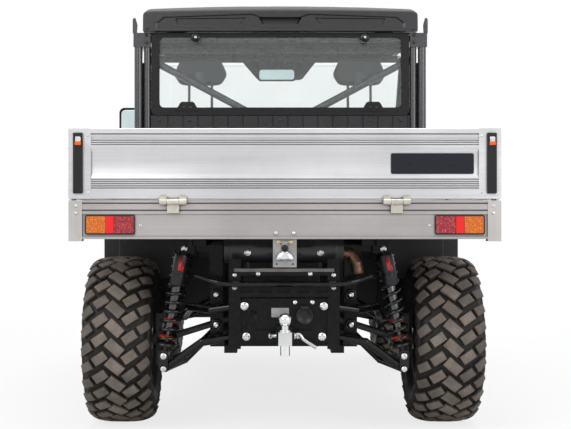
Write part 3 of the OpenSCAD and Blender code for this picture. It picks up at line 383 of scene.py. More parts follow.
# ---------------------------------------------------------------------------------------------
# Engine block and final drives: cast aluminium and iron, rough from the mould, oily and dusty.
# They bolt between the rails, and little of them shows.
# ---------------------------------------------------------------------------------------------
cast_values = coated_look((0.055, 0.056, 0.058, 1.0), 0.3, 420.0, 0.5, 0.12, 0.3)
cast_metal = make_finish("cast_metal", coated, cast_values, bump=0.0003, metallic=0.6)
finished_copy("engine", "chassis", cast_metal, 0.008, 2)
finished_copy("final_drives", "chassis", cast_metal, 0.005, 2)


# ---------------------------------------------------------------------------------------------
# Fasteners seen from behind: zinc-plated flange bolts on the bulkhead, cross-member and muffler.
# Turned and cold-headed steel; a hexagon head stands on a round flange.
# ---------------------------------------------------------------------------------------------
zinc_colour = (0.62, 0.62, 0.6, 1.0)
zinc_values = coated_look(zinc_colour, 0.18, 700.0, 0.27, 0.12, 0.12, (0.16, 0.14, 0.11, 1.0))
bright_zinc = make_finish("bright_zinc", coated, zinc_values, bump=0.00003, metallic=1.0)


def grid_faces(rows, columns, closed=True, first=0):
    """Quads over a grid of rows by columns; a closed grid joins its last column to its first."""
    i, j = np.meshgrid(np.arange(rows - 1), np.arange(columns if closed else columns - 1), indexing="ij")
    k = (j + 1) % columns
    quads = np.stack([i * columns + j, i * columns + k, (i + 1) * columns + k, (i + 1) * columns + j], axis=2)
    return (quads.reshape(-1, 4) + first).tolist()


def closed_faces(rows, columns):
    """The quads of a closed grid, then one face over its first row and one over its last."""
    faces = grid_faces(rows, columns)
    faces.append(list(range(columns))[::-1])
    faces.append(list(range((rows - 1) * columns, rows * columns)))
    return faces


def turned_part(profile, centre, axis, sides=32, hexagon=()):
    """A profile of (radius, height) turned round the axis through the centre, both ends closed.

    A row whose number is in hexagon has its radius divided by the cosine of the angle to the
    nearest flat, which makes a six-sided head; its flats lie at the radius given."""
    profile = np.asarray(profile, dtype=float)
    axis = np.asarray(axis, dtype=float) / np.linalg.norm(axis)
    side = np.cross(axis, [0.0, 0.0, 1.0] if abs(axis[2]) < 0.9 else [1.0, 0.0, 0.0])
    side /= np.linalg.norm(side)
    other = np.cross(axis, side)
    turn = np.linspace(0.0, 2.0 * math.pi, sides + 1)[:-1]
    radius = np.repeat(profile[:, :1], sides, axis=1)
    flats = 1.0 / np.cos((turn % (math.pi / 3.0)) - math.pi / 6.0)
    for row in hexagon:
        radius[row] *= flats
    points = (
        np.asarray(centre, dtype=float)
        + (radius * np.cos(turn))[..., None] * side
        + (radius * np.sin(turn))[..., None] * other
        + profile[:, 1][:, None, None] * axis
    )
    return points.reshape(-1, 3), closed_faces(len(profile), sides)


def join_parts(parts):
    """Many (points, faces) pairs as one, each face list shifted past the points before it."""
    points, faces, shift = [], [], 0
    for part_points, part_faces in parts:
        points.append(np.asarray(part_points))
        faces.extend([[corner + shift for corner in face] for face in part_faces])
        shift += len(part_points)
    return np.concatenate(points), faces


def joined_piece(name, parts, finish, body, slot, smooth=True):
    """Many (points, faces) pairs as one mesh piece."""
    return new_piece(name, *join_parts(parts), finish, body, slot, smooth)


def flange_bolt(centre, axis, size):
    """A bolt head whose flange is size across: a round flange, then a hexagon with a chamfered top."""
    r = size / 2.0
    profile = [
        (r, 0.0), (r, r * 0.16), (r * 0.74, r * 0.3), (r * 0.68, r * 0.3), (r * 0.68, r * 0.84),
        (r * 0.56, r * 0.96), (r * 0.3, r * 0.9),
    ]
    return turned_part(profile, centre, axis, 24, hexagon=(3, 4))


socket_reach = 0.025
shelf_back, member_back = -1.3785, -1.3815
bulkhead_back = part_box("rear_bulkhead")[0][1] + socket_reach
heads = []
for side_sign in both_sides:
    heads += [
        flange_bolt((side_sign * 0.052, bulkhead_back - 0.0123, 0.396), rearward, 0.018),
        flange_bolt((side_sign * 0.190, shelf_back, 0.628), rearward, 0.016),
        flange_bolt((side_sign * 0.190, member_back, 0.582), rearward, 0.018),
        flange_bolt((side_sign * 0.100, shelf_back, 0.633), rearward, 0.016),
    ]
heads += [flange_bolt((x, bulkhead_back, 0.524), rearward, 0.015) for x in (0.042, 0.108)]
joined_piece("bulkhead_bolts", heads, bright_zinc, "chassis", "bright_steel", smooth=False)


# ---------------------------------------------------------------------------------------------
# Muffler: a rolled steel can behind a pressed heat shield, with a bent tail pipe to the right.
# The shield is satin black and held by two zinc bolts; the pipe is bare steel, browned by heat.
# ---------------------------------------------------------------------------------------------
shield_values = coated_look((0.016, 0.016, 0.017, 1.0), 0.2, 1100.0, 0.42, 0.08, 0.08)
shield_black = make_finish("shield_black", coated, shield_values, bump=0.00005)
muffler_copy = finished_copy("muffler", "chassis", shield_black, 0.0, 1)
pipe_values = coated_look((0.2, 0.115, 0.075, 1.0), 0.45, 160.0, 0.42, 0.15, 0.5, (0.06, 0.045, 0.035, 1.0))
heated_pipe = make_finish("heated_pipe", coated, pipe_values, bump=0.00008, metallic=0.85)
muffler_copy.data.materials.append(heated_pipe)
middle = np.empty(len(muffler_copy.data.polygons) * 3)
muffler_copy.data.polygons.foreach_get("center", middle)
pipe_from_x = 0.236
on_pipe = middle.reshape(-1, 3)[:, 0] > pipe_from_x
muffler_copy.data.polygons.foreach_set("material_index", on_pipe.astype(np.int32))


def swept_tube(path, radius, sides=20):
    """A round tube along a path, closed at both ends: a ring stands square to the path at each point.

    Each ring's own side vector is the one before it, made square to the new direction, so the
    tube doesn't twist. The radius is one number or one for each point."""
    path = np.asarray(path, dtype=float)
    radius = np.broadcast_to(np.asarray(radius, dtype=float), (len(path),))
    along = np.gradient(path, axis=0)
    along /= np.linalg.norm(along, axis=1)[:, None]
    across = np.cross(along[0], [0.0, 0.0, 1.0] if abs(along[0][2]) < 0.9 else [1.0, 0.0, 0.0])
    frames = []
    for direction in along:
        across = across - direction * np.dot(across, direction)
        across = across / np.linalg.norm(across)
        frames.append(across)
    frames = np.array(frames)
    other = np.cross(along, frames)
    turn = np.linspace(0.0, 2.0 * math.pi, sides + 1)[:-1]
    points = path[:, None, :] + radius[:, None, None] * (
        np.cos(turn)[None, :, None] * frames[:, None, :] + np.sin(turn)[None, :, None] * other[:, None, :]
    )
    return points.reshape(-1, 3), closed_faces(len(path), sides)


def rounded_outline(width, height, radius, steps=6):
    """Corner-rounded rectangle as (x, z) pairs round the middle, counter-clockwise."""
    corners = []
    for number, (sx, sz) in enumerate(((1, 1), (-1, 1), (-1, -1), (1, -1))):
        turn = number * math.pi / 2.0 + np.linspace(0.0, math.pi / 2.0, steps)
        corners.append(np.stack([
            sx * (width / 2.0 - radius) + radius * np.cos(turn),
            sz * (height / 2.0 - radius) + radius * np.sin(turn),
        ], axis=1))
    return np.concatenate(corners)


def rear_plate(outline, centre, thickness, inset):
    """A flat plate that faces -Y: the outline in X and Z carried from its back to its front face.

    The front edge steps in by inset, so the rim catches the light, and the plate is closed."""
    outline = np.asarray(outline, dtype=float)
    count = len(outline)
    inner = outline * (1.0 - inset / np.abs(outline).max(axis=0))
    rings = [(outline, 0.0), (outline, -thickness + inset * 0.7), (inner, -thickness)]
    points = np.concatenate([np.stack([
        centre[0] + ring[:, 0], np.full(count, centre[1] + depth), centre[2] + ring[:, 1],
    ], axis=1) for ring, depth in rings])
    return points, [face[::-1] for face in closed_faces(len(rings), count)]


def round_plate(width, height, corner, centre, thickness, inset):
    """A rear plate with rounded corners."""
    return rear_plate(rounded_outline(width, height, corner), centre, thickness, inset)


can_y, can_z = -1.285, 0.73
shield_radius = 0.062
end_fold = 0.03


def shield_front(x, z):
    """Depth of the pressed shield at a place: a cylinder front with its ends folded back."""
    round_front = can_y - np.sqrt(np.maximum(shield_radius ** 2 - (z - can_z) ** 2, 0.0004))
    return round_front + end_fold * np.clip((np.abs(x) - 0.2) / end_fold, 0.0, 1.0) ** 2


across_x = np.linspace(-0.231, 0.231, 70)
up_z = np.linspace(0.676, 0.784, 28)
grid_z, grid_x = np.meshgrid(up_z, across_x, indexing="ij")
pressed = shield_front(grid_x, grid_z)
recess = np.clip((0.118 - np.abs(grid_x)) / 0.02, 0.0, 1.0) * np.clip((grid_z - 0.735) / 0.012, 0.0, 1.0)
pressed = pressed + 0.006 * recess
pressed += 0.004 * np.clip((0.07 - np.abs(grid_x)) / 0.01, 0, 1) * np.clip((0.715 - grid_z) / 0.01, 0, 1)
points = np.stack([grid_x, pressed, grid_z], axis=2).reshape(-1, 3)
shield = new_piece(
    "muffler_shield", points, grid_faces(len(up_z), len(across_x), closed=False), shield_black, "chassis",
    "frame_paint",
)
thicken(shield, 0.002)
joined_piece(
    "shield_bolts",
    [flange_bolt((x, shield_front(x, 0.714) - 0.001, 0.714), rearward, 0.026) for x in (-0.141, 0.141)],
    bright_zinc, "chassis", "bright_steel", smooth=False,
)

# ---------------------------------------------------------------------------------------------
# Suspension arms, knuckles, half shafts and sway bar: bent steel tube and forged or cast ends.
# The tube is powder coated gloss black; every pivot takes a zinc-plated bolt through a bush.
# ---------------------------------------------------------------------------------------------
arm_values = coated_look((0.0045, 0.0045, 0.005, 1.0), 0.2, 1500.0, 0.22, 0.07, 0.03)
arm_gloss = make_finish(
    "arm_gloss", coated, arm_values, bump=0.00003, specular_ior_level=0.1, coat_weight=0.4, coat_roughness=0.06,
)
for node in ("rear_arms", "front_arms"):
    finished_copy(node, "chassis", arm_gloss, 0.0)

# ---------------------------------------------------------------------------------------------
# Sway bar: one round spring-steel bar across the tail, black like the arms. Its straight middle
# turns in two clamp blocks on the slotted cross-member, and its ends curl forward to the links.
# ---------------------------------------------------------------------------------------------
bar_radius = 0.011
bar_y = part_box("sway_bar")[0][1] + bar_radius
bar_z = 0.595
bar_knots = np.array([
    (0.0, bar_y, bar_z), (0.195, bar_y, bar_z), (0.262, bar_y + 0.004, bar_z + 0.008),
    (0.322, bar_y + 0.040, bar_z + 0.026), (0.356, bar_y + 0.066, bar_z + 0.030),
])


def rounded_path(knots, steps=14):
    """A smooth path through the knots: on each span a cubic whose slope at a knot is half the
    chord between that knot's neighbours."""
    padded = np.concatenate([[2 * knots[0] - knots[1]], knots, [2 * knots[-1] - knots[-2]]])
    spans = []
    for n in range(1, len(padded) - 2):
        t = np.linspace(0.0, 1.0, steps + 1)[:-1, None]
        p0, p1, p2, p3 = padded[n - 1], padded[n], padded[n + 1], padded[n + 2]
        square, cube = 2 * p0 - 5 * p1 + 4 * p2 - p3, 3 * p1 - p0 - 3 * p2 + p3
        spans.append(0.5 * (2 * p1 + (p2 - p0) * t + square * t ** 2 + cube * t ** 3))
    return np.concatenate(spans + [knots[-1:]])


half_bar = rounded_path(bar_knots)
whole_bar = np.concatenate([(half_bar * [-1, 1, 1])[::-1], half_bar[1:]])
clamps = [
    round_plate(0.026, 0.026, 0.004, (side * 0.185, -1.3813, bar_z), 0.0235, 0.001) for side in both_sides
]
sway = joined_piece(
    "sway_bar_round", [swept_tube(whole_bar, bar_radius, 24)] + clamps, arm_gloss, "chassis", "frame_paint",
)
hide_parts("sway_bar")

# ---------------------------------------------------------------------------------------------
# Knuckles and half shafts: cast iron uprights and forged shafts, left as cast, bolted to the arms.
# ---------------------------------------------------------------------------------------------
for node in ("rear_knuckles", "half_shafts"):
    finished_copy(node, "chassis", cast_metal, 0.0)
for side_name in ("left", "right"):
    finished_copy("front_" + side_name + "_knuckle", side_name + "_knuckle", cast_metal, 0.0)
finished_copy("steering_rack", "rack", cast_metal, 0.0)

heads = []
for side_sign in both_sides:
    for x, y, z, size in (
        (0.152, bulkhead_back, 0.510, 0.030), (0.145, bulkhead_back, 0.393, 0.030),
        (0.470, -1.302, 0.257, 0.022), (0.470, -1.300, 0.307, 0.024), (0.389, -1.300, 0.728, 0.024),
    ):
        heads.append(flange_bolt((side_sign * x, y, z), rearward, size))
joined_piece("pivot_bolts", heads, bright_zinc, "chassis", "bright_steel", smooth=False)

# ---------------------------------------------------------------------------------------------
# Front pivots of the rear arms: rubber bushes pressed in steel sleeves, seen end on beside the
# bulkhead, each held by one bolt. Over them lies the lip of the steel shelf, a pale grey strip.
# ---------------------------------------------------------------------------------------------
upright_back = -1.2500
sleeve_x = 0.265
sleeve = [(0.0225, -0.002), (0.0225, 0.016), (0.0205, 0.019), (0.0165, 0.019), (0.0155, 0.016), (0.004, 0.016)]
sleeves, sleeve_bolts = [], []
for side_sign in both_sides:
    for z in (0.545, 0.427):
        sleeves.append(turned_part(sleeve, (side_sign * sleeve_x, upright_back, z), rearward, 32))
        sleeve_bolts.append(flange_bolt((side_sign * sleeve_x, upright_back - 0.016, z), rearward, 0.021))
joined_piece("arm_sleeves", sleeves, arm_gloss, "chassis", "frame_paint")
joined_piece("arm_sleeve_bolts", sleeve_bolts, bright_zinc, "chassis", "bright_steel", smooth=False)
shelf_values = {
    **arm_values, "Colour": (0.13, 0.122, 0.112, 1.0), "Mottle": 0.4, "Grain": 60.0, "Rough": 0.55,
    "Dust colour": (0.24, 0.225, 0.2, 1.0), "Dust": 0.5,
}
shelf_grey = make_finish("shelf_grey", coated, shelf_values, bump=0.0001)
new_piece(
    "shelf_lip", *round_plate(0.384, 0.013, 0.002, (0.0, -1.3784, 0.6475), 0.003, 0.001), shelf_grey, "chassis",
    "frame_paint", smooth=False,
)

# ---------------------------------------------------------------------------------------------
# Coil-over shocks: a steel damper inside a cold-wound spring, with a grooved side reservoir.
# The spring is black, the body hard-anodised grey, the preload collar and stop ring orange-red.
# ---------------------------------------------------------------------------------------------
spring_colour = (0.008, 0.008, 0.009, 1.0)
collar_colour = (0.62, 0.045, 0.012, 1.0)
ring_colour = (0.5, 0.008, 0.01, 1.0)
spring_values = coated_look(spring_colour, 0.15, 1300.0, 0.2, 0.06, 0.12)
spring_black = make_finish(
    "spring_black", coated, spring_values, bump=0.00003, specular_ior_level=0.15, coat_weight=0.5,
    coat_roughness=0.06,
)
body_values = {**spring_values, "Colour": (0.02, 0.021, 0.024, 1.0), "Rough": 0.3}
damper_grey = make_finish("damper_grey", coated, body_values, bump=0.00003, metallic=0.7)
rod_values = {**zinc_values, "Colour": (0.09, 0.09, 0.094, 1.0), "Rough": 0.2, "Dust": 0.1}
damper_rod = make_finish("damper_rod", coated, rod_values, bump=0.00002, metallic=1.0)
collar_values = {**spring_values, "Colour": collar_colour, "Rough": 0.3}
collar_orange = make_finish("collar_orange", coated, collar_values, metallic=0.35, bump=0.00003)
ring_values = {**spring_values, "Colour": ring_colour, "Rough": 0.35}
ring_red = make_finish("ring_red", coated, ring_values, bump=0.00003)


def coil(foot, top, low, high, mean, wire, turns):
    """A helix of wire round the line from foot to top, its ends wound flat and closed.

    The wire climbs as a smooth step at each end, so the last coil lies square to the line."""
    foot, top = np.asarray(foot, dtype=float), np.asarray(top, dtype=float)
    line = (top - foot) / np.linalg.norm(top - foot)
    side = np.cross(line, [0.0, 1.0, 0.0])
    side /= np.linalg.norm(side)
    other = np.cross(line, side)
    t = np.linspace(0.0, 1.0, int(turns * 22) + 1)
    lead = 0.75 / turns
    climb = np.clip((t - lead) / (1.0 - 2.0 * lead), 0.0, 1.0) * (high - low - 2.2 * wire)
    climb += low + 1.1 * wire
    climb += wire * 2.0 * (np.clip(t / lead, 0, 1) - 1.0) * (t < lead)
    climb += wire * 2.0 * np.clip((t - 1 + lead) / lead, 0, 1)
    turn = t * turns * 2.0 * math.pi
    path = foot + climb[:, None] * line + mean * (np.cos(turn)[:, None] * side + np.sin(turn)[:, None] * other)
    return swept_tube(path, wire, 10)


springs, bodies, rods, collars, rings, labels = [], [], [], [], [], []
shock_plan = [
    ((0.472, -1.262, 0.307), (0.389, -1.262, 0.728), 0.0340, 0.0066, 11.0, True),
    ((0.425, 1.128, 0.439), (0.285, 1.128, 0.750), 0.0330, 0.0064, 8.0, False),
]
eye = [(0.012, -0.021), (0.022, -0.019), (0.022, 0.019), (0.012, 0.021)]
lower_seat = [(0.013, 0.012), (0.015, 0.04), (0.036, 0.044), (0.037, 0.05), (0.02, 0.056)]
upper_seat = [(0.024, 0.0), (0.037, 0.008), (0.038, 0.02), (0.03, 0.032), (0.015, 0.05)]
stop_ring = [(0.022, 0.0), (0.0275, 0.002), (0.0275, 0.013), (0.022, 0.015)]
collar = [(0.024, 0.0), (0.033, 0.002), (0.034, 0.012), (0.026, 0.015)]
for foot_place, top_place, mean, wire, turns, reservoir in shock_plan:
    for side_sign in both_sides:
        foot = np.array(foot_place) * [side_sign, 1, 1]
        top = np.array(top_place) * [side_sign, 1, 1]
        span = np.linalg.norm(top - foot)
        line = (top - foot) / span
        springs.append(coil(foot, top, 0.105 * span, 0.93 * span, mean, wire, turns))
        bodies.append(turned_part(eye, foot, (0, 1, 0), 28))
        bodies.append(turned_part(eye, top, (0, 1, 0), 28))
        bodies.append(turned_part(lower_seat, foot, line, 32))
        bodies.append(turned_part(upper_seat, top - line * 0.062, line, 32))
        rods.append(turned_part([(0.008, 0.05), (0.008, 0.34 * span)], foot, line, 20))
        damper = [
            (0.017, 0.24 * span), (0.021, 0.245 * span), (0.021, 0.262 * span), (0.0185, 0.27 * span),
            (0.0185, 0.42 * span), (0.0215, 0.43 * span), (0.0215, 0.88 * span), (0.018, 0.9 * span),
        ]
        rods.append(turned_part(damper, foot, line, 32))
        rings.append(turned_part(stop_ring, foot + line * 0.31 * span, line, 32))
        collars.append(turned_part(collar, foot + line * 0.064, line, 36))
        if reservoir:
            middle = foot + line * 0.66 * span + np.array([0.0, -0.069, 0.0])
            length = 0.30 * span
            can = [
                (0.019, 0.0), (0.026, 0.003), (0.0285, 0.008), (0.0285, 0.045), (0.027, 0.047), (0.027, 0.051),
                (0.0285, 0.053), (0.0285, length - 0.014), (0.026, length - 0.005), (0.014, length),
            ]
            bodies.append(turned_part(can, middle, line, 40))
            bridge = [
                middle + line * (length - 0.022), middle + line * (length - 0.012) + [0, 0.03, 0],
                top - line * 0.035,
            ]
            bodies.append(swept_tube(bridge, 0.012, 16))
            for height, arc, start in ((0.062, 0.34, -0.30), (0.062, 0.13, 0.28)):
                turn = np.linspace(start, start + arc * 1.3, 9) - math.pi / 2.0 + 0.1
                lengths = np.linspace(height, length - 0.02 if arc > 0.2 else length - 0.045, 2)
                across = np.cross(line, [0.0, -1.0, 0.0])
                across /= np.linalg.norm(across)
                outward = np.cross(across, line)
                curve = 0.0289 * (np.cos(turn)[:, None] * across - np.sin(turn)[:, None] * outward)
                strip = middle + lengths[:, None, None] * line + curve[None, :, :]
                labels.append((strip.reshape(-1, 3), grid_faces(2, 9, closed=False)))

for name, parts, finish, slot in (
    (
        "coil_springs", springs, spring_black, "frame_paint",
    ), ("damper_bodies", bodies, damper_grey, "cast_metal"),
    ("damper_rods", rods, damper_rod, "bright_steel"), ("preload_collars", collars, collar_orange, "lamp_red"),
    ("stop_rings", rings, ring_red, "lamp_red"),
):
    piece = joined_piece(name, parts, finish, "chassis", slot)
    if name == "coil_springs":
        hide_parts("coil_overs")
    else:
        soften(piece, 0.0008, 1)
label_piece = joined_piece("reservoir_patches", labels, ring_red, "chassis", "lamp_red")
thicken(label_piece, 0.0006)

# ---------------------------------------------------------------------------------------------
# Wheels: stamped and welded steel rims, painted satin black, each held by four zinc lug nuts.
# The barrel holds the tyre beads; the pierced disc bolts to the hub.
# ---------------------------------------------------------------------------------------------
rim_values = coated_look((0.014, 0.014, 0.015, 1.0), 0.2, 1000.0, 0.36, 0.1, 0.35)
rim_paint = make_finish("rim_paint", coated, rim_values, bump=0.00005, coat_weight=0.25, coat_roughness=0.2)
nut_circle = 0.055
wheel_names = ("rear_left", "rear_right", "front_left", "front_right")
for wheel_name in wheel_names:
    body = wheel_name + "_wheel"
    side_sign = -1.0 if "left" in wheel_name else 1.0
    finished_copy(wheel_name + "_rim", body, rim_paint, 0.0015, 1)
    low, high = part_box(wheel_name + "_rim")
    hub = box_middle(wheel_name + "_rim")
    outer_x = (low[0] if side_sign < 0 else high[0]) - side_sign * 0.050
    nuts = []
    for turn in np.arange(4) * math.pi / 2.0 + math.pi / 4.0:
        place = (outer_x, hub[1] + nut_circle * math.cos(turn), hub[2] + nut_circle * math.sin(turn))
        nut = [
            (0.013, -0.004), (0.0125, 0.004), (0.0095, 0.006), (0.0095, 0.02), (0.007, 0.024), (0.003, 0.025),
        ]
        nuts.append(turned_part(nut, place, (side_sign, 0, 0), 24, hexagon=(2, 3)))
    joined_piece(wheel_name + "_lug_nuts", nuts, bright_zinc, body, "bright_steel", smooth=False)

# ---------------------------------------------------------------------------------------------
# Tyres: low-pressure all-terrain rubber, moulded with five rows of slanting blocks over a dark,
# round carcass. The block tops are worn and dusty brown-grey; the grooves stay nearly black.
# ---------------------------------------------------------------------------------------------
groove_colour = (0.0055, 0.0056, 0.006, 1.0)
top_colour = (0.06, 0.054, 0.05, 1.0)
top_dust = (0.27, 0.225, 0.185, 1.0)
block_height = 0.0135
ring_count = 160
blocks_round = 28
outer_radius = 0.343

rubber_values = {"Groove": groove_colour, "Top": top_colour, "Dust": top_dust, "Rough": 0.56}
rubber, given, put = shader_group("worn_rubber", rubber_values)
tread = rubber.nodes.new("ShaderNodeAttribute")
tread.attribute_name = "tread"
worn = rubber.nodes.new("ShaderNodeAttribute")
worn.attribute_name = "worn"
clouds = add_noise(rubber, 18.0, 5.0)
specks = add_noise(rubber, 260.0, 4.0)
pits = add_noise(rubber, 620.0, 3.0)
top = add_mix(
    rubber, add_range(rubber, tread.outputs["Fac"], 0.72, 0.97), given.outputs["Groove"], given.outputs["Top"],
)
film = add_math(rubber, "MULTIPLY", worn.outputs["Fac"], add_range(rubber, clouds, 0.28, 0.62, 0.35, 1.0))
film = add_math(rubber, "MULTIPLY", film, add_range(rubber, specks, 0.3, 0.62, 0.45, 1.0))
rubber.links.new(add_mix(rubber, film, top, given.outputs["Dust"]), put.inputs["Colour"])
matt = add_math(rubber, "MULTIPLY", film, 0.3)
matt = add_math(rubber, "ADD", matt, add_range(rubber, clouds, 0.3, 0.7, -0.1, 0.1))
matt = add_math(rubber, "ADD", matt, given.outputs["Rough"])
rubber.links.new(matt, put.inputs["Roughness"])
grit = add_math(rubber, "MULTIPLY", pits, add_range(rubber, worn.outputs["Fac"], 0.0, 1.0, 0.35, 1.0))
rubber.links.new(grit, put.inputs["Height"])
tyre_rubber = make_finish("tyre_rubber", rubber, rubber_values, bump=0.0005, specular_ior_level=0.25)


def tyre_outline(half, bead):
    """The tyre's outer outline as (x, radius) from the crown to one bead, evenly spaced along it.

    A flat crown bends into a round shoulder, a full side wall and a narrow bead; the corner
    points are smoothed twice by cutting each corner at a quarter and three quarters."""
    wall = outer_radius - bead
    outline = np.array([
        (0.0, outer_radius), (half - 0.088, outer_radius - 0.0003), (half - 0.048, outer_radius - 0.006),
        (half - 0.02, outer_radius - 0.018), (
            half - 0.006, outer_radius - 0.034,
        ), (half - 0.001, bead + wall * 0.72),
        (half, bead + wall * 0.56), (half - 0.003, bead + wall * 0.40), (half - 0.016, bead + wall * 0.21),
        (half - 0.034, bead + 0.016), (half - 0.040, bead + 0.0015),
    ])
    for _ in range(2):
        cut = np.concatenate(
            [outline[:-1] * 0.75 + outline[1:] * 0.25, outline[:-1] * 0.25 + outline[1:] * 0.75], axis=1,
        )
        outline = np.concatenate([outline[:1], cut.reshape(-1, 2), outline[-1:]])
    length = np.concatenate([[0.0], np.cumsum(np.linalg.norm(np.diff(outline, axis=0), axis=1))])
    even = np.linspace(0.0, length[-1], 90)
    return even, np.interp(even, length, outline[:, 0]), np.interp(even, length, outline[:, 1])


def on_tyre(along, around, depth, outline):
    """Points on the tyre: along is the signed distance from the crown's middle across the tread,
    around the distance round the crown, and depth the distance sunk below the outer outline."""
    even, x, r = outline
    dx, dr = np.gradient(x, even), np.gradient(r, even)
    size = np.abs(along)
    px, pr = np.interp(size, even, x), np.interp(size, even, r)
    nx, nr = -np.interp(size, even, dr), np.interp(size, even, dx)
    px, pr = px - depth * nx, pr - depth * nr
    turn = around / outer_radius
    return np.stack([np.sign(along) * px, -pr * np.cos(turn), pr * np.sin(turn)], axis=-1)


def tread_blocks(outline, rows):
    """All blocks of a tyre. Each is a slanted rectangle on the outline: its top follows the outline
    and is a little rounded at the rim, and its walls flare out down into the carcass."""
    step = np.array([-1.0, -1.0, -0.9, -0.3, 0.3, 0.9, 1.0, 1.0])
    sunk = np.array([1.0, 0.10, 0.0, 0.0, 0.0, 0.0, 0.10, 1.0])
    flare = np.array([-1.0, 0.0, 0.0, 0.0, 0.0, 0.0, 0.0, 1.0])
    count = len(step)
    b, a = np.meshgrid(np.arange(count), np.arange(count), indexing="ij")
    depth = np.maximum(sunk[a], sunk[b])
    edge = [(0, n) for n in range(count)] + [(n, count - 1) for n in range(1, count)]
    edge += [(count - 1, n) for n in range(count - 2, -1, -1)] + [(n, 0) for n in range(count - 2, 0, -1)]
    rim = [row * count + column for row, column in edge]
    quads = np.array(grid_faces(count, count, closed=False))
    points, faces, tops, dust, total = [], [], [], [], 0
    pitch = 2.0 * math.pi * outer_radius / blocks_round
    for place, long_side, short_side, slant, offset, worn_share in rows:
        along = step[a] * long_side / 2.0 + flare[a] * 0.0025
        across = step[b] * short_side / 2.0 + flare[b] * 0.0025
        turn = math.radians(slant)
        s = place + along * math.cos(turn) - across * math.sin(turn)
        c = along * math.sin(turn) + across * math.cos(turn)
        centres = (np.arange(blocks_round) + offset) * pitch
        grown = np.broadcast_to(s, (blocks_round,) + s.shape)
        round_at = c[None] + centres[:, None, None]
        block = on_tyre(grown, round_at, depth[None] * (block_height + 0.003), outline)
        points.append(block.reshape(-1, 3))
        size = count * count
        shifts = total + np.arange(blocks_round) * size
        faces.extend((quads[None] + shifts[:, None, None]).reshape(-1, 4).tolist())
        faces.extend([[corner + shift for corner in rim[::-1]] for shift in shifts])
        on_top = np.tile((1.0 - depth).reshape(-1), blocks_round)
        tops.append(on_top)
        spread = 0.78 + 0.22 * np.sin(np.arange(blocks_round) * 2.4 + place * 90.0)
        dust.append((on_top > 0.8) * np.repeat(spread, size) * worn_share)
        total += blocks_round * size
    return np.concatenate(points), faces, np.concatenate(tops), np.concatenate(dust)


for wheel_name in wheel_names:
    body = wheel_name + "_wheel"
    low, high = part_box(wheel_name + "_tyre")
    hub = box_middle(wheel_name + "_tyre")
    half = (high[0] - low[0]) / 2.0
    squeeze = half / 0.140
    outline = tyre_outline(half, 0.178)
    even = outline[0]
    shoulder = 0.170 * squeeze
    along = np.concatenate([-even[::-1], even[1:]])
    sunk = block_height * np.clip((shoulder - np.abs(along)) / 0.012, 0.0, 1.0)
    around = np.linspace(0.0, 2.0 * math.pi * outer_radius, ring_count + 1)[:-1]
    grid_c, grid_s = np.meshgrid(around, along, indexing="xy")
    aside = np.abs(grid_s)
    rib = 0.0012 * np.exp(-(((aside - 0.235 * squeeze) / 0.004) ** 2))
    rib += 0.0008 * np.exp(-(((aside - 0.262 * squeeze) / 0.003) ** 2))
    side_lug = (np.abs(((np.arange(ring_count) / ring_count * blocks_round) % 1.0) - 0.5) < 0.27)[None, :]
    side_lug = side_lug * np.clip((0.205 * squeeze - aside) / 0.004, 0, 1)
    side_lug = side_lug * np.clip((aside - 0.176 * squeeze) / 0.004, 0, 1)
    carcass = on_tyre(grid_s, grid_c, sunk[:, None] - rib * 0.6 + 0.004 - 0.0035 * side_lug, outline)
    faces = grid_faces(len(along), ring_count)
    carcass_points = carcass.reshape(-1, 3)
    count = len(carcass_points)
    last = (len(along) - 1) * ring_count
    faces += [[last + n, last + (n + 1) % ring_count, (n + 1) % ring_count, n] for n in range(ring_count)]
    rows = [
        (0.0, 0.071, 0.0415, -42.0, 0.0, 1.0),
        (
            -0.059 * squeeze, 0.058 * squeeze, 0.0362, 34.0, 0.42, 0.9,
        ), (0.059 * squeeze, 0.058 * squeeze, 0.0362, 34.0, 0.52, 0.9),
        (
            -0.119 * squeeze, 0.057 * squeeze, 0.0362, 32.0, 0.88, 0.5,
        ), (0.119 * squeeze, 0.057 * squeeze, 0.0362, 32.0, 0.06, 0.5),
    ]
    block_points, block_faces, tops, dust = tread_blocks(outline, rows)
    points, faces = join_parts([(carcass_points, faces), (block_points, block_faces)])
    tyre = new_piece(wheel_name + "_tread_tyre", points + hub, faces, tyre_rubber, body, "tyre_rubber")
    for label, share in (("tread", tops), ("worn", dust)):
        layer = tyre.data.attributes.new(label, "FLOAT", "POINT")
        layer.data.foreach_set(
            "value",
            np.concatenate([np.full(count, 0.25 if label == "tread" else 0.06), share]).astype(np.float32),
        )
    face_outward(tyre, sharp=38.0)
    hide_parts(wheel_name + "_tyre")

# ---------------------------------------------------------------------------------------------
# Aluminium tray: deck, headboard, drop-sides, tailgate and rear beam, all hollow extrusions.
# The metal is mill finished with fine draw lines along its length, and painted shade darkens
# its grooves and inside corners; end caps are screwed on.
# ---------------------------------------------------------------------------------------------
panel_metal = (0.60, 0.60, 0.615, 1.0)
beam_metal = (0.395, 0.38, 0.375, 1.0)
cap_metal = (0.54, 0.53, 0.52, 1.0)
drawn_values = {
    "Colour": panel_metal, "Streak": 0.06, "Smudge": 0.05, "Rough": 0.36, "Stretch": (1.5, 260.0, 260.0),
    "Grime colour": (0.14, 0.125, 0.105, 1.0), "Grime": 0.0,
}
drawn, given, put = shader_group("drawn_metal", drawn_values)
lines = add_noise(drawn, 1.0, 3.0, given.outputs["Stretch"])
hazy = add_noise(drawn, 3.2, 4.0)
marks = add_noise(drawn, 26.0, 6.0)
tone = add_math(drawn, "MULTIPLY", add_range(drawn, lines, 0.3, 0.7, -1.0, 1.0), given.outputs["Streak"])
cloud = add_math(drawn, "MULTIPLY", add_range(drawn, hazy, 0.3, 0.7, -1.0, 1.0), given.outputs["Smudge"])
tone = add_math(drawn, "ADD", add_math(drawn, "ADD", tone, cloud), 1.0)
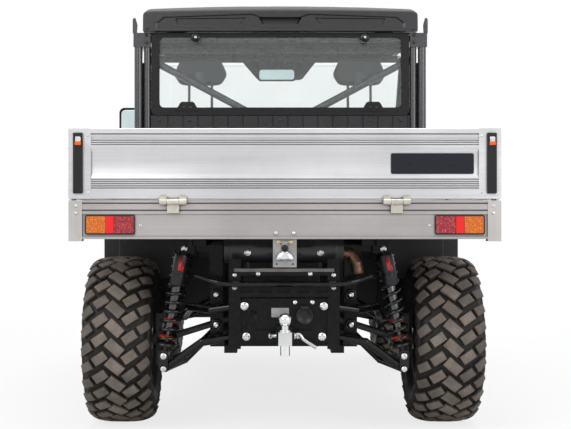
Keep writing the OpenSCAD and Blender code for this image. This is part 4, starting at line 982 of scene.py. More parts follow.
# Painted shade: an ambient-occlusion node darkens the colour in grooves, gaps and inside corners, down to three
# tenths.
groove_shade = drawn.nodes.new("ShaderNodeAmbientOcclusion")
groove_shade.samples = 8
groove_shade.inputs["Distance"].default_value = 0.014
tone = add_math(drawn, "MULTIPLY", tone, add_range(drawn, groove_shade.outputs["AO"], 0.3, 0.85, 0.3, 1.0))
shade = add_scaled(drawn, given.outputs["Colour"], tone)
stained = add_math(drawn, "MULTIPLY", add_range(drawn, marks, 0.52, 0.75), given.outputs["Grime"])
drawn.links.new(add_mix(drawn, stained, shade, given.outputs["Grime colour"]), put.inputs["Colour"])
rough = add_math(
    drawn, "ADD", add_range(drawn, lines, 0.3, 0.7, -0.05, 0.05), add_range(drawn, hazy, 0.3, 0.7, -0.06, 0.06),
)
rough = add_math(
    drawn, "ADD", add_math(drawn, "ADD", rough, given.outputs["Rough"]),
    add_math(drawn, "MULTIPLY", stained, 0.3),
)
drawn.links.new(rough, put.inputs["Roughness"])
drawn.links.new(lines, put.inputs["Height"])


def metal_finish(name, colour, stretch, rough=0.36, streak=0.06, grime=0.05, bump=0.00003):
    """Aluminium with draw lines and painted groove shade; stretch is the noise scale along X, Y and Z, small along
    the lines.
    """
    values = {
        **drawn_values, "Colour": colour, "Stretch": stretch, "Rough": rough, "Streak": streak, "Grime": grime,
    }
    return make_finish(name, drawn, values, bump=bump, metallic=0.92)


def paint_where(piece, finish, inside):
    """Gives a second material to the faces whose middle (x, y, z) arrays pass the test."""
    piece.data.materials.append(finish)
    count = len(piece.data.polygons)
    middle = np.empty(count * 3)
    piece.data.polygons.foreach_get("center", middle)
    slots = np.empty(count, dtype=np.int32)
    piece.data.polygons.foreach_get("material_index", slots)
    slots[inside(*middle.reshape(-1, 3).T)] = len(piece.data.materials) - 1
    piece.data.polygons.foreach_set("material_index", slots)


gate_metal = metal_finish("gate_metal", panel_metal, (1.5, 420.0, 420.0))
side_metal = metal_finish("side_metal", panel_metal, (420.0, 1.5, 420.0))
end_metal = metal_finish("end_metal", cap_metal, (420.0, 420.0, 3.0), rough=0.4)
deck_metal = metal_finish("deck_metal", (0.42, 0.42, 0.43, 1.0), (300.0, 1.5, 300.0), rough=0.45, grime=0.4)
beam_finish = metal_finish("beam_finish", beam_metal, (1.2, 380.0, 380.0), rough=0.42, streak=0.05)
corner_metal = metal_finish("corner_metal", (0.47, 0.455, 0.44, 1.0), (380.0, 380.0, 3.0), rough=0.42)
hinge_metal = metal_finish("hinge_metal", (0.56, 0.535, 0.47, 1.0), (60.0, 60.0, 60.0), rough=0.34, grime=0.25)

finished_copy("tray_deck", "tray", deck_metal, 0.001, 1)
finished_copy("headboard", "tray", gate_metal, 0.0012, 1)
beam = finished_copy("rear_beam", "tray", beam_finish, 0.0012, 2)
paint_where(beam, corner_metal, lambda x, y, z: np.abs(x) > 0.7512)
paint_where(beam, hinge_metal, lambda x, y, z: y < -1.5305)
gate = finished_copy("tailgate", "gate", gate_metal, 0.0009, 2)
paint_where(gate, end_metal, lambda x, y, z: np.abs(x) > 0.7175)
paint_where(gate, hinge_metal, lambda x, y, z: (y < -1.5305) & (z < 0.96))
for side_name in ("left", "right"):
    flank = finished_copy(
        side_name + "_drop_side", side_name + "_side", side_metal, 0.0009, 2,
    )
    paint_where(flank, hinge_metal, lambda x, y, z: (np.abs(x) > 0.8085) & (z < 0.96))


def dome_screw(centre, axis, size):
    """A pan-head screw of the given width: a low dome with a socket sunk in its middle."""
    r = size / 2.0
    profile = [
        (r, 0.0), (r * 0.98, r * 0.22), (r * 0.8, r * 0.5), (r * 0.5, r * 0.66), (r * 0.34, r * 0.66),
        (r * 0.3, r * 0.3), (r * 0.02, r * 0.3),
    ]
    return turned_part(profile, centre, axis, 20)


tray_screws = [
    dome_screw((side * x, y, z), rearward, size)
    for side in both_sides
    for x, y, z, size in (
        (0.773, -1.530, 0.894, 0.013), (0.773, -1.530, 0.866, 0.013), (0.536, -1.5225, 0.820, 0.013),
        (0.033, -1.5225, 0.792, 0.015),
    )
]
joined_piece("beam_screws", tray_screws, bright_zinc, "tray", "bright_steel")
joined_piece(
    "gate_screws",
    [dome_screw((side * 0.728, -1.5298, z), rearward, 0.009) for side in both_sides for z in (1.153, 0.943)],
    bright_zinc, "gate", "bright_steel",
)

# ---------------------------------------------------------------------------------------------
# Tailgate fittings: black latch channels with a zinc tongue and an orange-red release tip, a flat
# near-black plate of painted shade for the hollow behind each tongue, and a blank badge plate of
# navy acrylic with a fine raised rim, glued to the flat band.
# ---------------------------------------------------------------------------------------------
channel_values = coated_look((0.0075, 0.0075, 0.008, 1.0), 0.1, 900.0, 0.42, 0.06, 0.02)
channel_black = make_finish("channel_black", coated, channel_values, bump=0.00006, specular_ior_level=0.3)
finished_copy("tailgate_latches", "gate", channel_black, 0.0025, 3)
latch_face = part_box("tailgate_latches")[0][1]
latch_x = 0.7655
tip_values = coated_look((0.80, 0.085, 0.012, 1.0), 0.05, 800.0, 0.42, 0.05, 0.03)
release_orange = make_finish("release_orange", coated, tip_values, bump=0.00003)
# Painted shade: each latch hollow is a flat, near-black matte plate on the channel face, not a recess.
painted_hollow_values = {**channel_values, "Colour": (0.003, 0.003, 0.003, 1.0), "Rough": 0.7}
painted_hollow_shade = make_finish("painted_hollow_shade", coated, painted_hollow_values, bump=0.00003)
for name, size, corner, x, y, z, thickness, inset, finish, slot in (
    ("latch_hollow_shades", (0.026, 0.034), 0.010, 0.0, 0.0005, 1.140, 0.0012, 0.0008, painted_hollow_shade, "black_plastic"),
    ("latch_tongues", (0.019, 0.019), 0.004, 0.001, -0.0004, 1.139, 0.0030, 0.001, bright_zinc, "bright_steel"),
    ("latch_tips", (0.023, 0.013), 0.003, 0.001, -0.0004, 1.124, 0.0046, 0.0015, release_orange, "lamp_red"),
):
    centres = [(side * latch_x + x, latch_face + y, z) for side in both_sides]
    parts = [round_plate(*size, corner, centre, thickness, inset) for centre in centres]
    joined_piece(name, parts, finish, "gate", slot, smooth=False)

badge_values = coated_look((0.0055, 0.0075, 0.0125, 1.0), 0.04, 500.0, 0.3, 0.03, 0.0)
badge_navy = make_finish("badge_navy", coated, badge_values, bump=0.00001, specular_ior_level=0.3)
badge_centre = (0.547, -1.5228, 1.0498)
badge = round_plate(0.307, 0.0745, 0.006, badge_centre, 0.0022, 0.0008)
new_piece("badge_plate", *badge, badge_navy, "gate", "black_plastic", smooth=False)
side_words = {-1.0: "left", 1.0: "right"}
for side, word in side_words.items():
    catch = round_plate(0.006, 0.027, 0.002, (side * 0.8035, -1.4950, 1.044), 0.0030, 0.0008)
    new_piece(word + "_side_catch", *catch, channel_black, word + "_side", "black_plastic", smooth=False)

# ---------------------------------------------------------------------------------------------
# Tail lamps: a black moulded bezel round three acrylic lenses, an amber one over an LED field
# outside, a plain red reflector strip, and a deep red LED field inside, glued into the beam.
# The lens facets carry painted glints.
# ---------------------------------------------------------------------------------------------
lens, given, put = shader_group(
    "led_lens", {"Colour": (0.9, 0.25, 0.01, 1.0), "Bright": (1.0, 0.5, 0.1, 1.0), "Pitch": 165.0, "Facets": 0.8},
)
where = lens.nodes.new("ShaderNodeTexCoord").outputs["Object"]
cells = lens.nodes.new("ShaderNodeTexVoronoi")
cells.inputs["Randomness"].default_value = 0.55
lens.links.new(where, cells.inputs["Vector"])
lens.links.new(given.outputs["Pitch"], cells.inputs["Scale"])
# Painted glints: the middle of each facet is mixed toward the glint colour, dimmed at random by noise.
spark = add_range(lens, cells.outputs["Distance"], 0.08, 0.5, 1.0, 0.0)
spark = add_math(lens, "MULTIPLY", spark, given.outputs["Facets"])
painted_glint = add_math(lens, "MULTIPLY", spark, add_range(lens, add_noise(lens, 210.0, 2.0), 0.4, 0.62, 0.15, 1.0))
lens.links.new(add_mix(lens, painted_glint, given.outputs["Colour"], given.outputs["Bright"]), put.inputs["Colour"])
lens.links.new(add_range(lens, spark, 0.0, 1.0, 0.12, 0.22), put.inputs["Roughness"])
lens.links.new(spark, put.inputs["Height"])


def lens_finish(name, colour, bright, pitch, facets, bump, gloss):
    """Moulded acrylic: colour between the facets, a painted glint colour on them, pitch facets to the metre."""
    values = {"Colour": colour, "Bright": bright, "Pitch": pitch, "Facets": facets}
    return make_finish(name, lens, values, bump=bump, coat_weight=gloss, coat_roughness=0.03)


amber_lens = lens_finish("amber_lens", (0.55, 0.105, 0.001, 1.0), (1.0, 0.50, 0.05, 1.0), 150.0, 0.95, 0.0002, 0.2)
red_strip = lens_finish(
    "red_strip", (0.75, 0.0006, 0.0006, 1.0), (0.9, 0.01, 0.005, 1.0), 400.0, 0.15, 0.00003, 0.15,
)
deep_lens = lens_finish("deep_lens", (0.27, 0.006, 0.014, 1.0), (0.85, 0.22, 0.27, 1.0), 150.0, 0.95, 0.0002, 0.2)
lamp_low, lamp_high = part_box("tail_lamps")
lamp_middle_z = (lamp_low[2] + lamp_high[2]) / 2.0
lamp_back = lamp_high[1]
lens_back = lamp_back - 0.0075
for name, size, corner, x, y, thickness, inset, finish, slot in (
    ("lamp_bezels", (0.184, 0.072), 0.006, 0.648, lamp_back, 0.0085, 0.002, channel_black, "black_plastic"),
    ("amber_lenses", (0.070, 0.0625), 0.003, 0.700, lens_back, 0.0030, 0.001, amber_lens, "lamp_red"),
    ("red_reflectors", (0.0305, 0.0625), 0.001, 0.6485, lens_back, 0.0032, 0.0008, red_strip, "lamp_red"),
    ("red_lenses", (0.0715, 0.0625), 0.003, 0.5955, lens_back, 0.0030, 0.001, deep_lens, "lamp_red"),
):
    parts = [round_plate(*size, corner, (side * x, y, lamp_middle_z), thickness, inset) for side in both_sides]
    piece = joined_piece(name, parts, finish, "tray", slot, smooth=False)
    if name == "lamp_bezels":
        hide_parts("tail_lamps")

# ---------------------------------------------------------------------------------------------
# Number-plate bracket: galvanised sheet, hung by two brassy screws from the beam, with a chrome
# lamp dome over the plate's place, a black cable grommet above it and two free bolt holes.
# ---------------------------------------------------------------------------------------------
galvanised = metal_finish(
    "galvanised", (0.30, 0.30, 0.30, 1.0), (30.0, 30.0, 30.0), rough=0.42, streak=0.12, grime=0.3,
)
finished_copy("plate_bracket", "tray", galvanised, 0.0006, 1)
dome = np.array([
    (0.030, 0.0), (0.0335, -0.003), (0.034, -0.008), (0.031, -0.0125), (0.024, -0.0165), (0.014, -0.019),
    (0.001, -0.0198),
])
turn = np.linspace(0.0, 2.0 * math.pi, 49)[:-1]
dome_radius = dome[:, :1]
rings = np.stack([
    dome_radius * np.cos(turn),
    np.repeat(dome[:, 1][:, None], 48, axis=1) - 1.5195,
    0.704 + 0.50 * dome_radius * np.sin(turn) - 0.006 * np.cos(2 * turn) * (dome_radius / 0.034),
], axis=2)
faces = [face[::-1] for face in closed_faces(len(dome), 48)]
chrome_values = coated_look((0.72, 0.73, 0.74, 1.0), 0.06, 300.0, 0.07, 0.03, 0.1, (0.2, 0.18, 0.15, 1.0))
chrome = make_finish("chrome", coated, chrome_values, bump=0.00001, metallic=1.0)
new_piece("plate_lamp", rings.reshape(-1, 3), faces, chrome, "tray", "bright_steel")
grommet = [
    (0.010, 0.0), (0.0118, 0.002), (0.0118, 0.006), (0.0095, 0.009), (0.0095, 0.013), (0.006, 0.016),
    (0.002, 0.0162),
]
joined_piece(
    "cable_grommet", [turned_part(grommet, (0.0, -1.5205, 0.737), rearward, 28)], channel_black, "tray",
    "black_plastic",
)
brass_values = {**zinc_values, "Colour": (0.55, 0.40, 0.17, 1.0), "Rough": 0.3}
brass = make_finish("passivated_brass", coated, brass_values, bump=0.00003, metallic=1.0)
parts = [flange_bolt((x, -1.5199, 0.7575), rearward, 0.014) for x in (-0.022, 0.022)]
parts.append(turned_part([(0.003, 0.0), (0.003, 0.044)], (-0.022, -1.5225, 0.7575), (1, 0, 0), 12))
joined_piece("bracket_screws", parts, brass, "tray", "bright_steel", smooth=False)
clip = round_plate(0.020, 0.020, 0.003, (0.0, -1.5199, 0.752), 0.006, 0.001)
new_piece("bracket_clip", *clip, galvanised, "tray", "galvanised", smooth=False)

# ---------------------------------------------------------------------------------------------
# Roll cage: round steel tube, bent and welded, powder coated satin grey-black.
# Folded brackets with two dome bolts each tie the rear posts to the roof; a fin stands over each.
# ---------------------------------------------------------------------------------------------
cage_values = coated_look((0.032, 0.033, 0.038, 1.0), 0.1, 1200.0, 0.28, 0.06, 0.03, (0.2, 0.19, 0.18, 1.0))
cage_paint = make_finish("cage_paint", coated, cage_values, bump=0.00004, coat_weight=0.5, coat_roughness=0.15)
finished_copy("roll_cage", "chassis", cage_paint, 0.0012, 2)
black_zinc_values = {**zinc_values, "Colour": (0.055, 0.055, 0.058, 1.0), "Rough": 0.32}
black_zinc = make_finish("black_zinc", coated, black_zinc_values, bump=0.00003, metallic=0.9)
heads = [dome_screw((side * 0.634, -0.3521, z), rearward, 0.016) for side in both_sides for z in (1.711, 1.676)]
joined_piece("cage_bracket_bolts", heads, black_zinc, "chassis", "frame_paint")
fins = []
for side in both_sides:
    blade = np.array([
        (-0.011, -0.036), (0.009, -0.036), (0.012, 0.002), (0.004, 0.034), (-0.004, 0.038), (-0.011, 0.030),
    ])
    blade[:, 0] *= side * -1.0
    fins.append(rear_plate(
        blade if side < 0 else blade[::-1], (side * 0.690, -0.333, 1.758), 0.006, inset=0.001,
    ))
joined_piece("roof_fins", fins, cage_paint, "chassis", "frame_paint", smooth=False)

# ---------------------------------------------------------------------------------------------
# Cab tub, dashboard and steering wheel: moulded dark polypropylene with a fine pebble grain.
# The tub bolts to the rails; the wheel is a padded rim on a steel spider.
# ---------------------------------------------------------------------------------------------
tub_values = coated_look((0.022, 0.0225, 0.024, 1.0), 0.12, 650.0, 0.5, 0.08, 0.14)
tub_plastic = make_finish("tub_plastic", coated, tub_values, bump=0.00025)
finished_copy("cab_tub", "chassis", tub_plastic, 0.006, 3)
finished_copy("dashboard", "chassis", tub_plastic, 0.009, 3)
finished_copy("steering_wheel", "steering_wheel_body", channel_black, 0.0, 1)
gauge_centre = np.array([-0.340, 0.462, 1.128])
hood_path = [
    gauge_centre + np.array([0.085 * math.cos(a), -0.006, 0.052 * math.sin(a)])
    for a in np.linspace(0.0, 2.0 * math.pi, 41)[:-1]
]
hood_path = np.array(hood_path + hood_path[:1])
pods = [swept_tube(hood_path, 0.006, 12)]
for x in (-0.52, -0.17, 0.17, 0.52):
    vent = np.array([
        [x + 0.045 * math.cos(a), 0.4515, 1.02 + 0.030 * math.sin(a)] for a in np.linspace(0, 2 * math.pi, 33)
    ])
    pods.append(swept_tube(vent, 0.0045, 10))
    for lift in (-0.015, 0.0, 0.015):
        reach = 0.041 * math.sqrt(1.0 - (lift / 0.032) ** 2)
        pods.append(swept_tube(
            [[x - reach, 0.453, 1.02 + lift], [x, 0.452, 1.02 + lift], [x + reach, 0.453, 1.02 + lift]], 0.0028,
            8,
        ))
joined_piece("dash_vents", pods, channel_black, "chassis", "black_plastic")

# ---------------------------------------------------------------------------------------------
# Seat cushions and head rests: foam in black vinyl-coated cloth, sewn along each edge.
# Two bench halves, each a base and a back; the foam crowns between the sewn edges.
# ---------------------------------------------------------------------------------------------
vinyl_values = {
    "Colour": (0.02, 0.02, 0.022, 1.0), "Worn": (0.06, 0.058, 0.056, 1.0), "Weave": 700.0, "Rough": 0.48,
}
vinyl, given, put = shader_group("seat_vinyl", vinyl_values)
grain = vinyl.nodes.new("ShaderNodeTexVoronoi")
grain.inputs["Randomness"].default_value = 0.8
vinyl.links.new(vinyl.nodes.new("ShaderNodeTexCoord").outputs["Object"], grain.inputs["Vector"])
vinyl.links.new(given.outputs["Weave"], grain.inputs["Scale"])
rubbed = add_range(vinyl, add_noise(vinyl, 9.0, 5.0), 0.5, 0.75, 0.0, 0.5)
vinyl.links.new(add_mix(vinyl, rubbed, given.outputs["Colour"], given.outputs["Worn"]), put.inputs["Colour"])
vinyl.links.new(
    add_math(vinyl, "ADD", given.outputs["Rough"], add_math(vinyl, "MULTIPLY", rubbed, 0.3)),
    put.inputs["Roughness"],
)
vinyl.links.new(grain.outputs["Distance"], put.inputs["Height"])
seat_vinyl = make_finish("seat_vinyl", vinyl, vinyl_values, bump=0.0003, sheen_weight=0.15)


def cushion_shell(corners_low, corners_high, crown, pull, count=20):
    """A closed cushion between two four-cornered faces given counter-clockwise as (x, y, z).

    A cube's surface grid is blended between the eight corners; each face swells by the crown
    times the product of its two half-waves, and the middle of each side pulls in by pull."""
    low, high = np.asarray(corners_low, dtype=float), np.asarray(corners_high, dtype=float)
    ease = (
        1.0 - np.cos(np.linspace(0.0, math.pi, count + 1))
    ) / 2.0 * 0.5 + np.linspace(0.0, 1.0, count + 1) * 0.5

    def blend_at(a, b, c):
        """Trilinear place at shares a, b, c between the corners, pulled to the middle at half height."""
        waist = 1.0 - pull * 4.0 * c * (1.0 - c)
        a2, b2 = 0.5 + (a - 0.5) * waist, 0.5 + (b - 0.5) * waist
        shares = ((1 - a2) * (1 - b2), a2 * (1 - b2), a2 * b2, (1 - a2) * b2)
        bottom = sum(corner * share[..., None] for corner, share in zip(low, shares))
        top = sum(corner * share[..., None] for corner, share in zip(high, shares))
        wave = (np.sin(math.pi * a) * np.sin(math.pi * b)) ** 0.6
        rise = high.mean(axis=0) - low.mean(axis=0)
        rise = rise / np.linalg.norm(rise)
        place = bottom * (1 - c)[..., None] + top * c[..., None]
        return place + (wave * crown * np.maximum(2 * c - 1, 0.0))[..., None] * rise

    u, v = np.meshgrid(ease, ease, indexing="ij")
    zero, one = np.zeros_like(u), np.ones_like(u)
    sheets = [(v, u, zero), (u, v, one), (u, zero, v), (one, u, v), (one - u, one, v), (zero, one - u, v)]
    parts = [
        (
            blend_at(*sheet).reshape(-1, 3),
            [face[::-1] for face in grid_faces(count + 1, count + 1, closed=False)],
        )
        for sheet in sheets
    ]
    return join_parts(parts)


def stuffed(name, shell, cap, finish, body, slot, voxel=0.0115):
    """Merges the shell, then fills it: voxel remesh, cloth under pressure for 20 frames with
    each point's move capped, and one subdivision."""
    piece = new_piece(name, shell[0], shell[1], finish, body, slot)
    face_outward(piece, merge=0.0003)
    bpy.context.view_layer.objects.active = piece
    piece.data.remesh_voxel_size = voxel
    with bpy.context.temp_override(object=piece, active_object=piece, selected_objects=[piece]):
        bpy.ops.object.voxel_remesh()
    count = len(piece.data.vertices)
    start = np.empty(count * 3)
    piece.data.vertices.foreach_get("co", start)
    cloth = piece.modifiers.new("foam", "CLOTH")
    cloth.settings.use_pressure = True
    cloth.settings.uniform_pressure_force = 4.0
    cloth.settings.effector_weights.gravity = 0.0
    cloth.settings.tension_stiffness = 40.0
    cloth.settings.compression_stiffness = 40.0
    cloth.settings.bending_stiffness = 4.0
    for tick in range(1, 21):
        bpy.context.scene.frame_set(tick)
    swollen = piece.evaluated_get(bpy.context.evaluated_depsgraph_get()).data
    ended = np.empty(count * 3)
    swollen.vertices.foreach_get("co", ended)
    move = (ended - start).reshape(-1, 3)
    size = np.linalg.norm(move, axis=1)
    move *= (np.minimum(size, cap) / np.maximum(size, 1e-9))[:, None]
    piece.modifiers.remove(cloth)
    piece.data.vertices.foreach_set("co", (start.reshape(-1, 3) + move).ravel())
    bpy.context.scene.frame_set(1)
    piece.data.polygons.foreach_set("use_smooth", np.full(len(piece.data.polygons), True))
    fuller = piece.modifiers.new("fuller", "SUBSURF")
    fuller.levels = fuller.render_levels = 1
    return piece


def seat_corners(x0, x1, near, far):
    """Four corners at x0 and x1: the first two at near, the last two at far, each given as (y, z)."""
    return [(x0, *near), (x1, *near), (x1, *far), (x0, *far)]


for side, word in side_words.items():
    x0, x1 = sorted((side * 0.045, side * 0.580))
    base_shell = cushion_shell(
        seat_corners(x0, x1, (-0.212, 0.660), (0.192, 0.660)),
        seat_corners(x0, x1, (-0.212, 0.770), (0.192, 0.775)), crown=0.012, pull=0.02,
    )
    back_shell = cushion_shell(
        seat_corners(x0, x1, (-0.258, 0.822), (-0.272, 1.350)),
        seat_corners(x0, x1, (-0.166, 0.822), (-0.205, 1.350)), crown=0.010, pull=0.02,
    )
    base = stuffed(word + "_seat_base", base_shell, 0.018, seat_vinyl, "chassis", "seat_cover")
    stuffed(word + "_seat_back", back_shell, 0.012, seat_vinyl, "chassis", "seat_cover")
    if side < 0:
        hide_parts("seats")

rest_parts = []
for side in both_sides:
    outline = np.array([
        (0.262, 1.540), (0.293, 1.493), (0.477, 1.493), (0.508, 1.540), (0.477, 1.609), (0.293, 1.609),
    ])
    outline[:, 0] *= side
    outline = outline if side > 0 else outline[::-1]
    middle = outline.mean(axis=0)
    outline = middle + (outline - middle) * [1.07, 1.12]
    for _ in range(2):
        following = np.roll(outline, -1, axis=0)
        outline = np.stack(
            [outline * 0.86 + following * 0.14, outline * 0.14 + following * 0.86], axis=1,
        ).reshape(-1, 2)
    rings = []
    for share, y in (
        (0.05, -0.2425), (0.55, -0.2425), (0.86, -0.2400), (0.97, -0.2300), (1.0, -0.208), (0.97, -0.186),
        (0.86, -0.1745), (0.5, -0.1725), (0.05, -0.172),
    ):
        ring = middle + (outline - middle) * share
        rings.append(np.stack([ring[:, 0], np.full(len(ring), y), ring[:, 1]], axis=1))
    count = len(outline)
    rest_parts.append((np.concatenate(rings), closed_faces(len(rings), count)))
for side, part in zip(both_sides, rest_parts):
    pad = new_piece(side_words[side] + "_head_rest", part[0], part[1], seat_vinyl, "chassis", "seat_cover")
    face_outward(pad)
    fuller = pad.modifiers.new("fuller", "SUBSURF")
    fuller.levels = fuller.render_levels = 1
    if side < 0:
        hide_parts("headrests")
posts = [
    swept_tube([(side * x, -0.220, 1.36), (side * x, -0.220, 1.44), (side * x, -0.218, 1.52)], 0.0065, 16)
    for side in both_sides for x in (0.330, 0.440)
]
posts += [round_plate(0.050, 0.075, 0.006, (side * 0.385, -0.2400, 1.515), 0.006, 0.002) for side in both_sides]
joined_piece("head_rest_posts", posts, cage_paint, "chassis", "frame_paint")

# ---------------------------------------------------------------------------------------------
# Body panels: nose, hood, doors and rear fenders, moulded in dark grey plastic and screwed on.
# The face is satin with a fine grain, and the panels keep a rounded, draughted edge.
# ---------------------------------------------------------------------------------------------
panel_values = coated_look((0.0125, 0.0125, 0.0135, 1.0), 0.1, 800.0, 0.34, 0.07, 0.06, (0.12, 0.11, 0.1, 1.0))
panel_plastic = make_finish("panel_plastic", coated, panel_values, bump=0.00012, specular_ior_level=0.3)
for node, body, width in (
    ("front_body", "chassis", 0.007), ("rear_fenders", "chassis", 0.005), ("hood", "hood_body", 0.006),
    ("left_door", "left_door_body", 0.006), ("right_door", "right_door_body", 0.006),
):
    finished_copy(node, body, panel_plastic, width, 3)
slat_values = {**panel_values, "Colour": (0.021, 0.021, 0.0235, 1.0), "Mottle": 0.25, "Grain": 60.0}
slat_plastic = make_finish("slat_plastic", coated, slat_values, bump=0.00004, specular_ior_level=0.35)
for side, word in ((-1.0, "left"), (1.0, "right")):
    pull = [
        (0.7345, -0.196, 0.985), (0.7470, -0.190, 0.985), (0.7500, -0.176, 0.985), (0.7500, -0.104, 0.985),
        (0.7470, -0.090, 0.985), (0.7345, -0.084, 0.985),
    ]
    pull = [(side * x, y, z) for x, y, z in pull]
    new_piece(
        word + "_door_pull", *swept_tube(pull, 0.0065, 16), channel_black, word + "_door_body", "black_plastic",
    )
finished_copy("rear_panel", "chassis", slat_plastic, 0.0018, 2)
heads = [dome_screw((x, -0.3452, 1.308), rearward, 0.015) for x in (-0.573, -0.431, 0.0, 0.430, 0.572)]
joined_piece("rear_panel_bolts", heads, black_zinc, "chassis", "frame_paint")
trim_values = {**panel_values, "Colour": (0.006, 0.006, 0.0065, 1.0), "Rough": 0.4}
trim_black = make_finish("trim_black", coated, trim_values, bump=0.00012, specular_ior_level=0.25)
finished_copy("grille", "chassis", trim_black, 0.002, 2)
finished_copy("front_bumper", "chassis", arm_gloss, 0.0015, 2)

# ---------------------------------------------------------------------------------------------
# Headlamps: a black moulded housing with two chromed reflector bowls and their bulb covers.
# They snap into the nose each side of the grille.
# ---------------------------------------------------------------------------------------------
bowls, covers = [], []
front_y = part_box("headlamps")[1][1]
for side in both_sides:
    for x in (0.405, 0.500):
        bowl = [
            (0.004, -0.006), (0.016, -0.004), (0.028, 0.002), (0.0355, 0.010), (0.0375, 0.0125),
            (0.0375, 0.006), (0.030, -0.003), (0.004, -0.010),
        ]
        bowls.append(turned_part(bowl, (side * x, front_y - 0.006, 0.770), (0, 1, 0), 36))
        covers.append(turned_part(
            [(0.003, 0.003), (0.010, 0.004), (0.013, 0.001), (0.013, -0.004)],
            (side * x, front_y - 0.006, 0.770), (0, 1, 0), 24,
        ))
finished_copy("headlamps", "chassis", trim_black, 0.004, 3)
joined_piece("headlamp_bowls", bowls, chrome, "chassis", "lamp_clear")
bulb_values = {**chrome_values, "Colour": (0.85, 0.86, 0.82, 1.0), "Rough": 0.2}
bulb_glass = make_finish("bulb_glass", coated, bulb_values, bump=0.00002)
joined_piece("headlamp_lenses", covers, bulb_glass, "chassis", "lamp_clear")

# ---------------------------------------------------------------------------------------------
# Roof: a rotomoulded dark grey cap over the cage, open below, with a crowned top.
# Its rear edge is stepped: a sunk fascia carries two long panels and a deep slot between them.
# ---------------------------------------------------------------------------------------------
roof_low, roof_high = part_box("roof")
roof_half = roof_high[0]
edge_round = 0.040
nose_round = 0.045
roof_foot = 1.727


def roof_crest(x):
    """Height of the roof's crest at x: a shallow crown, then a quarter circle down at each end."""
    inner = roof_half - edge_round
    crown = roof_high[2] - 0.013 * np.clip(np.abs(x) / inner, 0.0, 1.0) ** 2
    drop = np.clip(np.abs(x) - inner, 0.0, 0.0399)
    return crown - edge_round + np.sqrt(edge_round ** 2 - drop ** 2)


def ramp(value, start, width):
    """0 below start, 1 past start plus width, a straight slope between."""
    return np.clip((value - start) / width, 0.0, 1.0)


def fascia_relief(x, z):
    """How far the rear face is sunk at (x, z): a sunk band below a stepped line, two panels sunk
    deeper in it, and a slot between them, each the product of slopes at its own edges."""
    size = np.abs(x)
    line = 1.793 + 0.015 * ramp(size, 0.094, 0.038) - 0.015 * ramp(size, 0.132, 0.416)
    line = line - 0.024 * ramp(size, 0.548, 0.030)
    band = ramp(line - z, 0.0, 0.003) * ramp(0.590 - size, 0.0, 0.012) * ramp(z, 1.741, 0.003)
    lean = (1.792 - z) * 0.9
    panel = ramp(size, 0.160 + lean, 0.004) * ramp(0.498 - lean * 0.4 - size, 0.0, 0.004)
    panel = panel * ramp(z, 1.7585, 0.002) * ramp(1.7905 - 0.004 * ramp(size, 0.16, 0.35) - z, 0.0, 0.002)
    slot = ramp(
        0.100 - (1.793 - z) * 0.5 - size, 0.0, 0.006,
    ) * ramp(z, 1.762, 0.003) * ramp(1.793 - z, 0.0, 0.003)
    return 0.007 * band + 0.006 * panel + 0.030 * slot


stations = np.unique(np.concatenate([
    np.linspace(-roof_half, roof_half, 150), np.linspace(-0.11, 0.11, 40), np.linspace(0.15, 0.20, 16),
    -np.linspace(0.15, 0.20, 16),
    np.linspace(0.46, 0.60, 36), -np.linspace(0.46, 0.60, 36), roof_half - edge_round * (
        1 - np.cos(np.linspace(0, math.pi / 2, 9))
    ),
    -roof_half + edge_round * (1 - np.cos(np.linspace(0, math.pi / 2, 9))), [-0.621, -0.620, 0.620, 0.621],
]).round(5))
face_z = np.concatenate([np.linspace(roof_foot, 1.755, 12), np.linspace(1.757, 1.812, 36)])
rise = np.linspace(0.0, math.pi / 2.0, 9)[1:]
crest = roof_crest(stations)[:, None]
back_y, front_y = roof_low[1], roof_high[1]
rear_z = np.minimum(np.repeat(face_z[None, :], len(stations), axis=0), crest - 0.002)
rear_y = back_y + fascia_relief(stations[:, None], rear_z) + 0.004 * ramp(rear_z, roof_foot, 0.085)
turn_z = rear_z[:, -1:] + (crest - rear_z[:, -1:]) * np.sin(rise)[None, :]
turn_y = rear_y[:, -1:] + edge_round * (1.0 - np.cos(rise))[None, :]
top_share = np.linspace(0.0, 1.0, 10)[1:]
top_y = turn_y[:, -1:] + (front_y - nose_round - turn_y[:, -1:]) * top_share[None, :]
top_z = np.repeat(crest, 9, axis=1) - 0.010 * top_share[None, :] ** 2
nose_y = front_y - nose_round * (1.0 - np.sin(rise))[None, :] + 0 * crest
nose_z = np.maximum(top_z[:, -1:] - nose_round * (1.0 - np.cos(rise))[None, :], 1.760)
deep = np.where(np.abs(stations) <= 0.6205, 1.0, 0.0)[:, None]
under_y = np.array([[front_y, front_y - 0.028, front_y - 0.029, back_y + 0.061, back_y + 0.060]]) + 0 * crest
under_z = roof_foot + deep * np.array([[0.0, 0.0, 0.080, 0.080, 0.0]])
section_y = np.concatenate([rear_y, turn_y, top_y, nose_y, under_y], axis=1)
section_z = np.concatenate([rear_z, turn_z, top_z, nose_z, under_z], axis=1)
shape = section_y.shape
points = np.stack([np.repeat(stations[:, None], shape[1], axis=1), section_y, section_z], axis=2).reshape(-1, 3)
faces = closed_faces(shape[0], shape[1])
roof_values = {**panel_values, "Colour": (0.0135, 0.0135, 0.0155, 1.0), "Rough": 0.36, "Dust": 0.04}
roof_plastic = make_finish(
    "roof_plastic", coated, roof_values, bump=0.00014, specular_ior_level=0.4, coat_weight=0.25,
    coat_roughness=0.3,
)
roof_skin = new_piece("roof_skin", points, faces, roof_plastic, "chassis", "body_plastic")
face_outward(roof_skin, merge=0.00001, sharp=32.0)
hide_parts("roof")
box_faces = [[3, 2, 1, 0], [4, 5, 6, 7], [0, 1, 5, 4], [1, 2, 6, 5], [2, 3, 7, 6], [3, 0, 4, 7]]
pad_parts = []
